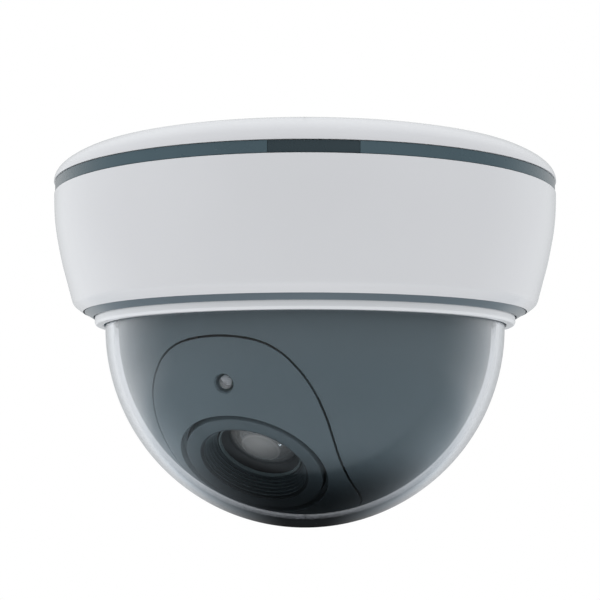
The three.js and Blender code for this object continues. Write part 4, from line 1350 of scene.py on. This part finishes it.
def status_lamp(s):
    place = wall_place(LAMP_DIP, LAMP_SIDE)
    profile = [(0, 38.7, 0), (1.85, 38.7, 0.1), (1.85, 39.7, 0.1), (1.5, 39.7, 0.08), (1.5, 43.1)]
    cap = [(r, h + 43.1) for r, h in arc(1.5, 0, 90, 12)[1:]]
    shape = softened(profile, 0.1, closed=False) + cap
    piece("status_lamp", turned("status_lamp", shape, "lamp", 48, place, on_axis=True), "ball",
          ["status_lamp"])
    frame_parts = [
        block((-0.75, -0.25, 38.9), (-0.2, 0.25, 41.9), place, 0.05),
        block((0.15, -0.25, 38.9), (0.6, 0.25, 42.1), place, 0.05),
        cylinder(0.55, 41.7, 42.2, place @ shift(-0.3, 0, 0), 24),
    ]
    piece("lamp_contacts", crisp(painted(merged(*frame_parts), "steel")), "ball", [])
    board = painted(block((-7, -1.9, 37.2), (7, 5.5, 38.4), place, 0.06), "board")
    piece("lamp_board", crisp(board), "ball", ["lamp_board"])
    packs = [(place @ shift(x, y, 38.4), size, finish) for x, y, size, finish in (
        (-4.6, 3.6, (1.6, 0.8, 0.5), "chip"), (4.4, 3.7, (1.2, 0.8, 0.4), "nylon"),
        (0.2, 4.2, (2.4, 1.3, 0.8), "chip"))]
    board_parts("lamp_board_parts", packs, "ball")


def ball_fixings(s):
    for side, label in ((1, "right"), (-1, "left")):
        place = PANNED @ spun(90 * side, "Y") @ shift(0, 0, 32.9)
        name = "trunnion_screw_" + label
        screws(name, [place], (4, 1.7, 1.4, 7.5), "ball", [name], threads=9)
    ring = softened([(14.1, 34.2), (17.7, 34.2), (17.7, 35.2), (14.1, 35.2)], 0.2)
    mesh = turned("head_lock_ring", ring, "black", 128)
    keys = [block((16.6, -0.8, 33.9), (18.2, 0.8, 35.5), spun(a))
            for a in range(0, 360, 45)]
    mesh = crisp(painted(cut(mesh, *keys), "black"))
    mesh.transform(LENS)
    piece("head_lock_ring", mesh, "ball", ["head_lock_ring"])


# Lens head.


def lens_bezel(s):
    down, inwards = (41.2 - 37.1) / s.steps, (12.0 - 9.9) / s.steps
    ribs = []
    for i in range(s.steps):
        radius, height = 12.0 - inwards * i, 41.2 - down * i
        ribs.extend([(radius + 0.42, height - down * 0.3, 0.05), (radius + 0.42, height - down * 0.74, 0.05),
                     (radius - inwards, height - down * 0.8, 0.03), (radius - inwards, height - down, 0.03)])
    profile = [
        (9.9, 36), (11.2, 35.2), (11.2, 19.3), (13.8, 19.3), (13.8, 35.5), (17.6, 35.5), (17.6, 37.9),
        (15.5, 37.9), (15.5, 41.2, 0.35), (12.0, 41.2, 0.12), *ribs,
    ]
    mesh = turned("lens_bezel", softened(profile, 0.15, 3), "bezel", 160)
    holes = [cylinder(0.7, 18, 23.6, at(12.5, a), 20) for a in CORNERS]
    mesh = crisp(painted(cut(mesh, *holes), "bezel"))
    # Painted shade: the stepped cone takes the dark baffle copy of the slate, while thin strips at the rib
    # lips keep the bezel colour as lighter edges.
    mesh.materials.append(MATERIALS["baffle"])
    unshaded_lips = [12.0 - inwards * (i + 1) for i in range(s.steps)]
    for face in mesh.polygons:
        reach = math.hypot(face.center.x, face.center.y) / MM
        if reach < 12.5 and face.center.z > 35.9 * MM and min(abs(reach - lip) for lip in unshaded_lips) > 0.06:
            face.material_index = 1
    mesh.transform(LENS)
    piece("lens_bezel", mesh, "head", ["lens_bezel"])


def lens_holder(s):
    plate = block((-13.5, -13.5, 17), (13.5, 13.5, 19), None, 0.3)
    tube = cylinder(9.4, 18.5, 28.5, None, 96)
    mesh = combined(plate, [tube], "UNION")
    bores = [cylinder(7.4, 19.2, 30, None, 96), block((-5.5, -5.5, 16), (5.5, 5.5, 20))]
    bores.extend(cylinder(0.95, 16, 20, at(12.5, a), 20) for a in CORNERS)
    mesh = crisp(painted(cut(mesh, *bores), "black"))
    mesh.transform(LENS)
    piece("lens_holder", mesh, "head", ["lens_holder"])
    places = [LENS @ at(12.5, a, 14.6) for a in CORNERS]
    screws("holder_screws", places, (1.5, 1.4, 0.65, 8.4), "head", numbered("holder_screw", 4),
           threads=14)


def sensor_parts(s):
    board = block((-13.5, -13.5, 14.9), (13.5, 13.5, 16.5), None, 0.08)
    holes = [cylinder(0.95, 14, 17, at(12.5, a), 20) for a in CORNERS]
    board = crisp(painted(cut(board, *holes), "board"))
    board.transform(LENS)
    piece("sensor_board", board, "head", ["sensor_board"])
    chip = painted(block((-5, -5, 16.8), (5, 5, 18.1), LENS, 0.15), "chip")
    piece("image_sensor", crisp(chip), "head", ["image_sensor"])
    pane = painted(block((-4.6, -4.6, 18.4), (4.6, 4.6, 19), LENS, 0.05), "filter")
    piece("ir_filter", crisp(pane), "head", ["ir_filter"])
    plug = block((-5, -11, 11.4), (5, -6.5, 14.6), None, 0.15)
    plug = cut(plug, block((-4.4, -10.3, 10), (4.4, -7.2, 13.6)))
    pins = merged(*[block((x - 0.18, -8.9, 11.9), (x + 0.18, -8.5, 14)) for x in (-3.2, -1.6, 0, 1.6, 3.2)])
    for name, shape, finish, nodes in (
        ("sensor_connector", plug, "nylon", ["sensor_connector"]),
        ("sensor_connector_pins", pins, "brass", []),
    ):
        shape = crisp(painted(shape, finish))
        shape.transform(LENS)
        piece(name, shape, "head", nodes)
    down = Matrix.Rotation(math.pi, 4, "X")
    small = ((1.6, 0.8, 0.5), (0.8, 1.6, 0.5), (1.2, 0.7, 0.5))
    packs = []
    for i in range(26):
        x, y = -10.5 + (i * 41 % 22), -4.5 + (i * 23 % 16)
        if abs(x) < 5.5 and -3.2 < y < 6.2:
            continue
        packs.append((LENS @ shift(x, y, 14.9) @ down, small[i % 3], PACK_FINISHES[i % 3]))
    packs.append((LENS @ shift(0, 1.5, 14.9) @ down, (7, 7, 1.1), "chip"))
    board_parts("sensor_board_parts", packs, "head")


# Focusing lens.


def lens_barrel(s):
    thread = []
    for i in range(20):
        height = 19.8 + i * 0.5
        thread.extend([(7.0, height), (6.7, height + 0.25)])
    profile = [
        (5.1, 19.6), (7, 19.6), *thread, (7, 30), (9.5, 30), (9.5, 36.3, 0.2), (9.25, 36.6, 0.12),
        (9.0, 36.6, 0.08), (8.05, 34.9, 0.1), (8.05, 33), (6.2, 33), (6.2, 24), (4.2, 24), (4.2, 23.1),
        (5.1, 23.1),
    ]
    mesh = turned("lens_barrel", softened(profile, 0.1, 2), "barrel", 128, LENS)
    piece("lens_barrel", mesh, "focus", ["lens_barrel"])
    curve = (7.75 ** 2 + 2.6 ** 2) / (2 * 2.6)
    face = [(7.75 * (1 - i / 32), 37.2 - curve + math.sqrt(curve ** 2 - (7.75 * (1 - i / 32)) ** 2))
            for i in range(33)]
    front = [(0, 33.3), (7.6, 33.3), (7.75, 33.45), *face]
    glass = turned("front_element", front, "glass", 128, LENS, on_axis=True)
    piece("front_element", glass, "focus", ["front_element"])
    rear = flowing([(0, 20.2), (2.6, 20.5), (4.8, 21.2)], 5) + flowing([(4.8, 22), (2.6, 22.6), (0, 22.8)], 5)
    glass = turned("rear_element", rear, "glass", 64, LENS, on_axis=True)
    piece("rear_element", glass, "focus", ["rear_element"])
    band = softened([(9.05, 36.62), (9.5, 36.62), (9.5, 37.3), (9.2, 37.3)], 0.08, 3)
    mesh = turned("barrel_face_ring", band, "satin", 128, LENS)
    piece("barrel_face_ring", mesh, "focus", [])
    iris = softened([(2.4, 31.9), (6.1, 31.9), (6.1, 32.3), (4.75, 32.3), (4.75, 32.75), (4.5, 32.75),
                     (4.5, 32.3), (2.4, 32.1)], 0.08, 2)
    piece("iris_plate", turned("iris_plate", iris, "satin", 96, LENS), "focus", [])
    profile = softened([(7.3, 28.8), (9.1, 28.8), (9.1, 29.7), (7.3, 29.7)], 0.15)
    ring = turned("focus_lock_ring", profile, "steel", 96, LENS)
    piece("focus_lock_ring", ring, "focus", ["focus_lock_ring"])
    knurl = from_nodes("focus_lock_knurl", bpy.data.meshes.new("none"), "ridges", {
        "Count": 60, "Radius": 9.05 * MM, "Width": 0.5 * MM, "Proud": 0.3 * MM, "Length": 0.8 * MM,
        "Height": 29.25 * MM, "Finish": MATERIALS["steel"],
    })
    knurl.transform(LENS)
    piece("focus_lock_knurl", knurl, "focus", [])


# Stage.


def studio_world():
    """Even soft light, dimmer from the front. Reflections show a dim front and a dark
    wedge below and behind."""
    world = bpy.data.worlds.new("Studio")
    world.use_nodes = True
    world.node_tree.nodes.clear()
    s = Shader(world.node_tree)
    parts = s.node("ShaderNodeSeparateXYZ", None, {0: s.add("ShaderNodeTexCoord", out="Generated")}).outputs
    across, depth, height = (Value(s.tree, part) for part in parts)
    ambient = depth.ramp(-1.0, -0.1, 0.71, 1.12) * across.ramp(-1.0, 1.0, 1.04, 0.96)
    ambient = ambient * height.ramp(0.15, 0.9, 1.0, 1.35) * height.ramp(-1.0, -0.3, 1.12, 1.0)
    sideways = across.maths("ABSOLUTE", across) / (0.12 - height).at_least(0.01) ** 1.5
    sides = depth.ramp(-0.25, 0.75, 0.16, 0.86) * depth.ramp(0.75, 1.0, 1.0, 0.72)
    behind = sides * sideways.ramp(0.1, 1.3, 0.02, 1.0) * across.ramp(-0.9, 0.9, 1.08, 0.94)
    behind = behind * (1.0 - height.ramp(-0.45, -0.25, 0.45, 0.0) * depth.ramp(0.8, 0.92, 1.0, 0.0))
    mirrored = behind.at_least(depth.ramp(0.02, 0.1, 0.2, 0.0))
    rays = s.node("ShaderNodeLightPath").outputs
    cool = s.mix(height.ramp(-0.5, -0.2), (0.82, 0.93, 1.0), (0.96, 0.985, 1.0))
    soft = s.add("ShaderNodeBackground", None, {"Color": (0.985, 0.992, 1.0), "Strength": ambient})
    sharp = s.add("ShaderNodeBackground", None, {"Color": cool, "Strength": mirrored})
    plain = s.add("ShaderNodeBackground", None, {"Color": (1, 1, 1), "Strength": 1.0})
    lit = s.add("ShaderNodeMixShader", None, {0: Value(s.tree, rays["Is Diffuse Ray"]), 1: sharp, 2: soft})
    both = s.add("ShaderNodeMixShader", None, {0: Value(s.tree, rays["Is Camera Ray"]), 1: lit, 2: plain})
    out = s.node("ShaderNodeOutputWorld")
    s.tree.links.new(both.socket, out.inputs["Surface"])
    bpy.context.scene.world = world


def stage(s):
    """A pale floor that is clear from below, small lights for the glass, and the camera."""
    studio_world()
    floor_mesh = cylinder(1000, -2, 0, None, 96)
    material, shader = new_material("Pale floor")
    grain = shader.noise(40, 3)
    pale = shader.principled({
        "Base Color": shader.mix(grain, (0.86, 0.86, 0.86), (0.9, 0.9, 0.9)), "Roughness": 0.8})
    facing = shader.add("ShaderNodeNewGeometry", out="Normal")
    upward = Value(shader.tree, shader.node("ShaderNodeSeparateXYZ", None, {0: facing}).outputs[2])
    unseen = shader.add("ShaderNodeBsdfTransparent", None, {"Color": (1, 1, 1)})
    shader.finish(shader.add("ShaderNodeMixShader", None, {0: upward.ramp(-0.1, 0.1), 1: unseen, 2: pale}))
    floor_mesh.materials.append(material)
    floor_mesh.transform(Matrix.Translation((0, 0, -FLOOR_DROP)))
    floor = bpy.data.objects.new("floor", floor_mesh)
    for kind in ("diffuse", "glossy", "transmission", "shadow"):
        setattr(floor, "visible_" + kind, False)
    lights = []
    for name, place, size, power, glass in LIGHTS:
        data = bpy.data.lights.new(name, "AREA")
        data.shape, data.size, data.energy = "DISK", size, power
        lamp = bpy.data.objects.new(name, data)
        aim = (0.5 * sum(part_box(glass[5:]), Vector()) - Vector(place)).to_track_quat("-Z", "Y")
        lamp.matrix_world = Matrix.Translation(place) @ aim.to_matrix().to_4x4()
        linked = bpy.data.collections.new(name + "_lights")
        linked.objects.link(bpy.data.objects[glass])
        lamp.light_linking.receiver_collection = linked
        lights.append(lamp)
    data = bpy.data.cameras.new("camera")
    data.lens, data.sensor_width = s.lens, 36.0
    camera = bpy.data.objects.new("camera", data)
    centre = CENTRE.translation
    place = centre + Vector((0, -math.cos(s.dip), -math.sin(s.dip))) * s.distance
    lift = math.radians(90) + s.dip + math.radians(AIM_UP)
    turn = spun(AIM_SIDE) @ Matrix.Rotation(lift, 4, "X")
    camera.matrix_world = Matrix.Translation(place) @ turn
    for thing in (floor, *lights, camera):
        bpy.context.scene.collection.objects.link(thing)
    bpy.context.scene.camera = camera
    bpy.context.scene.view_settings.view_transform = "Standard"


# Operators and panel.


def prepare():
    """Makes the finishes and geometry trees once."""
    if not MATERIALS:
        make_materials()
        TREES.update(turned=turned_tree(), screws=screw_tree(), ridges=ridge_tree())


class DOME_OT_base(bpy.types.Operator):
    """Builds the ceiling base, its band, grommet and pan bearing"""
    bl_idname = "dome_camera.base"
    bl_label = "Ceiling base"

    def execute(self, context):
        prepare()
        settings = context.scene.dome_housing
        for build in (base_plate, upper_band, grommet, pan_bearing):
            build(settings)
        return {"FINISHED"}


class DOME_OT_board(bpy.types.Operator):
    """Builds the main board with its terminals and parts"""
    bl_idname = "dome_camera.board"
    bl_label = "Main board"

    def execute(self, context):
        prepare()
        main_board(context.scene.dome_housing)
        return {"FINISHED"}


class DOME_OT_cover(bpy.types.Operator):
    """Builds the drop-off cover, its rings, seal and screws"""
    bl_idname = "dome_camera.cover"
    bl_label = "Cover"

    def execute(self, context):
        prepare()
        cover_shell(context.scene.dome_housing)
        cover_rings(context.scene.dome_housing)
        return {"FINISHED"}


class DOME_OT_window(bpy.types.Operator):
    """Builds the clear dome"""
    bl_idname = "dome_camera.window"
    bl_label = "Clear dome"

    def execute(self, context):
        prepare()
        dome_window(context.scene.dome_housing)
        return {"FINISHED"}


class DOME_OT_yoke(bpy.types.Operator):
    """Builds the pan turntable and the yoke"""
    bl_idname = "dome_camera.yoke"
    bl_label = "Turntable and yoke"

    def execute(self, context):
        prepare()
        turntable(context.scene.dome_housing)
        pan_yoke(context.scene.dome_housing)
        return {"FINISHED"}


class DOME_OT_ball(bpy.types.Operator):
    """Builds the tilting ball: liner, cowl, lamp and fixings"""
    bl_idname = "dome_camera.ball"
    bl_label = "Liner ball"

    def execute(self, context):
        prepare()
        settings = context.scene.dome_ball
        for build in (liner_shell, lens_cowl, status_lamp, ball_fixings):
            build(settings)
        return {"FINISHED"}


class DOME_OT_head(bpy.types.Operator):
    """Builds the lens head with its sensor board"""
    bl_idname = "dome_camera.head"
    bl_label = "Lens head"

    def execute(self, context):
        prepare()
        settings = context.scene.dome_lens
        for build in (lens_bezel, lens_holder, sensor_parts):
            build(settings)
        return {"FINISHED"}


class DOME_OT_focus(bpy.types.Operator):
    """Builds the focusing lens"""
    bl_idname = "dome_camera.focus"
    bl_label = "Focusing lens"

    def execute(self, context):
        prepare()
        lens_barrel(context.scene.dome_lens)
        return {"FINISHED"}


class DOME_OT_stage(bpy.types.Operator):
    """Sets the floor, the light and the view"""
    bl_idname = "dome_camera.stage"
    bl_label = "Stage"

    def execute(self, context):
        stage(context.scene.dome_stage)
        return {"FINISHED"}


STEPS = (
    DOME_OT_base, DOME_OT_board, DOME_OT_cover, DOME_OT_window, DOME_OT_yoke,
    DOME_OT_ball, DOME_OT_head, DOME_OT_focus, DOME_OT_stage,
)


class DOME_PT_panel(bpy.types.Panel):
    """Sizes, colours and build steps of the dome camera"""
    bl_idname = "DOME_PT_panel"
    bl_label = "Dome camera"
    bl_space_type = "VIEW_3D"
    bl_region_type = "UI"
    bl_category = "Dome camera"

    def draw(self, context):
        for name in SETTINGS:
            settings = getattr(context.scene, name)
            for key in settings.bl_rna.properties.keys():
                if key not in ("rna_type", "name"):
                    self.layout.prop(settings, key)
        for step in STEPS:
            self.layout.operator(step.bl_idname)


SETTINGS = {
    "dome_housing": HousingSettings, "dome_ball": BallSettings,
    "dome_lens": LensSettings, "dome_stage": StageSettings,
}


def register():
    for name, settings in SETTINGS.items():
        bpy.utils.register_class(settings)
        setattr(bpy.types.Scene, name, bpy.props.PointerProperty(type=settings))
    for cls in (*STEPS, DOME_PT_panel):
        bpy.utils.register_class(cls)


def unregister():
    for cls in reversed((*STEPS, DOME_PT_panel)):
        bpy.utils.unregister_class(cls)
    for name, settings in SETTINGS.items():
        delattr(bpy.types.Scene, name)
        bpy.utils.unregister_class(settings)


def main():
    register()
    for step in STEPS:
        getattr(bpy.ops.dome_camera, step.bl_idname.split(".")[1])()


if __name__ == "__main__":
    main()
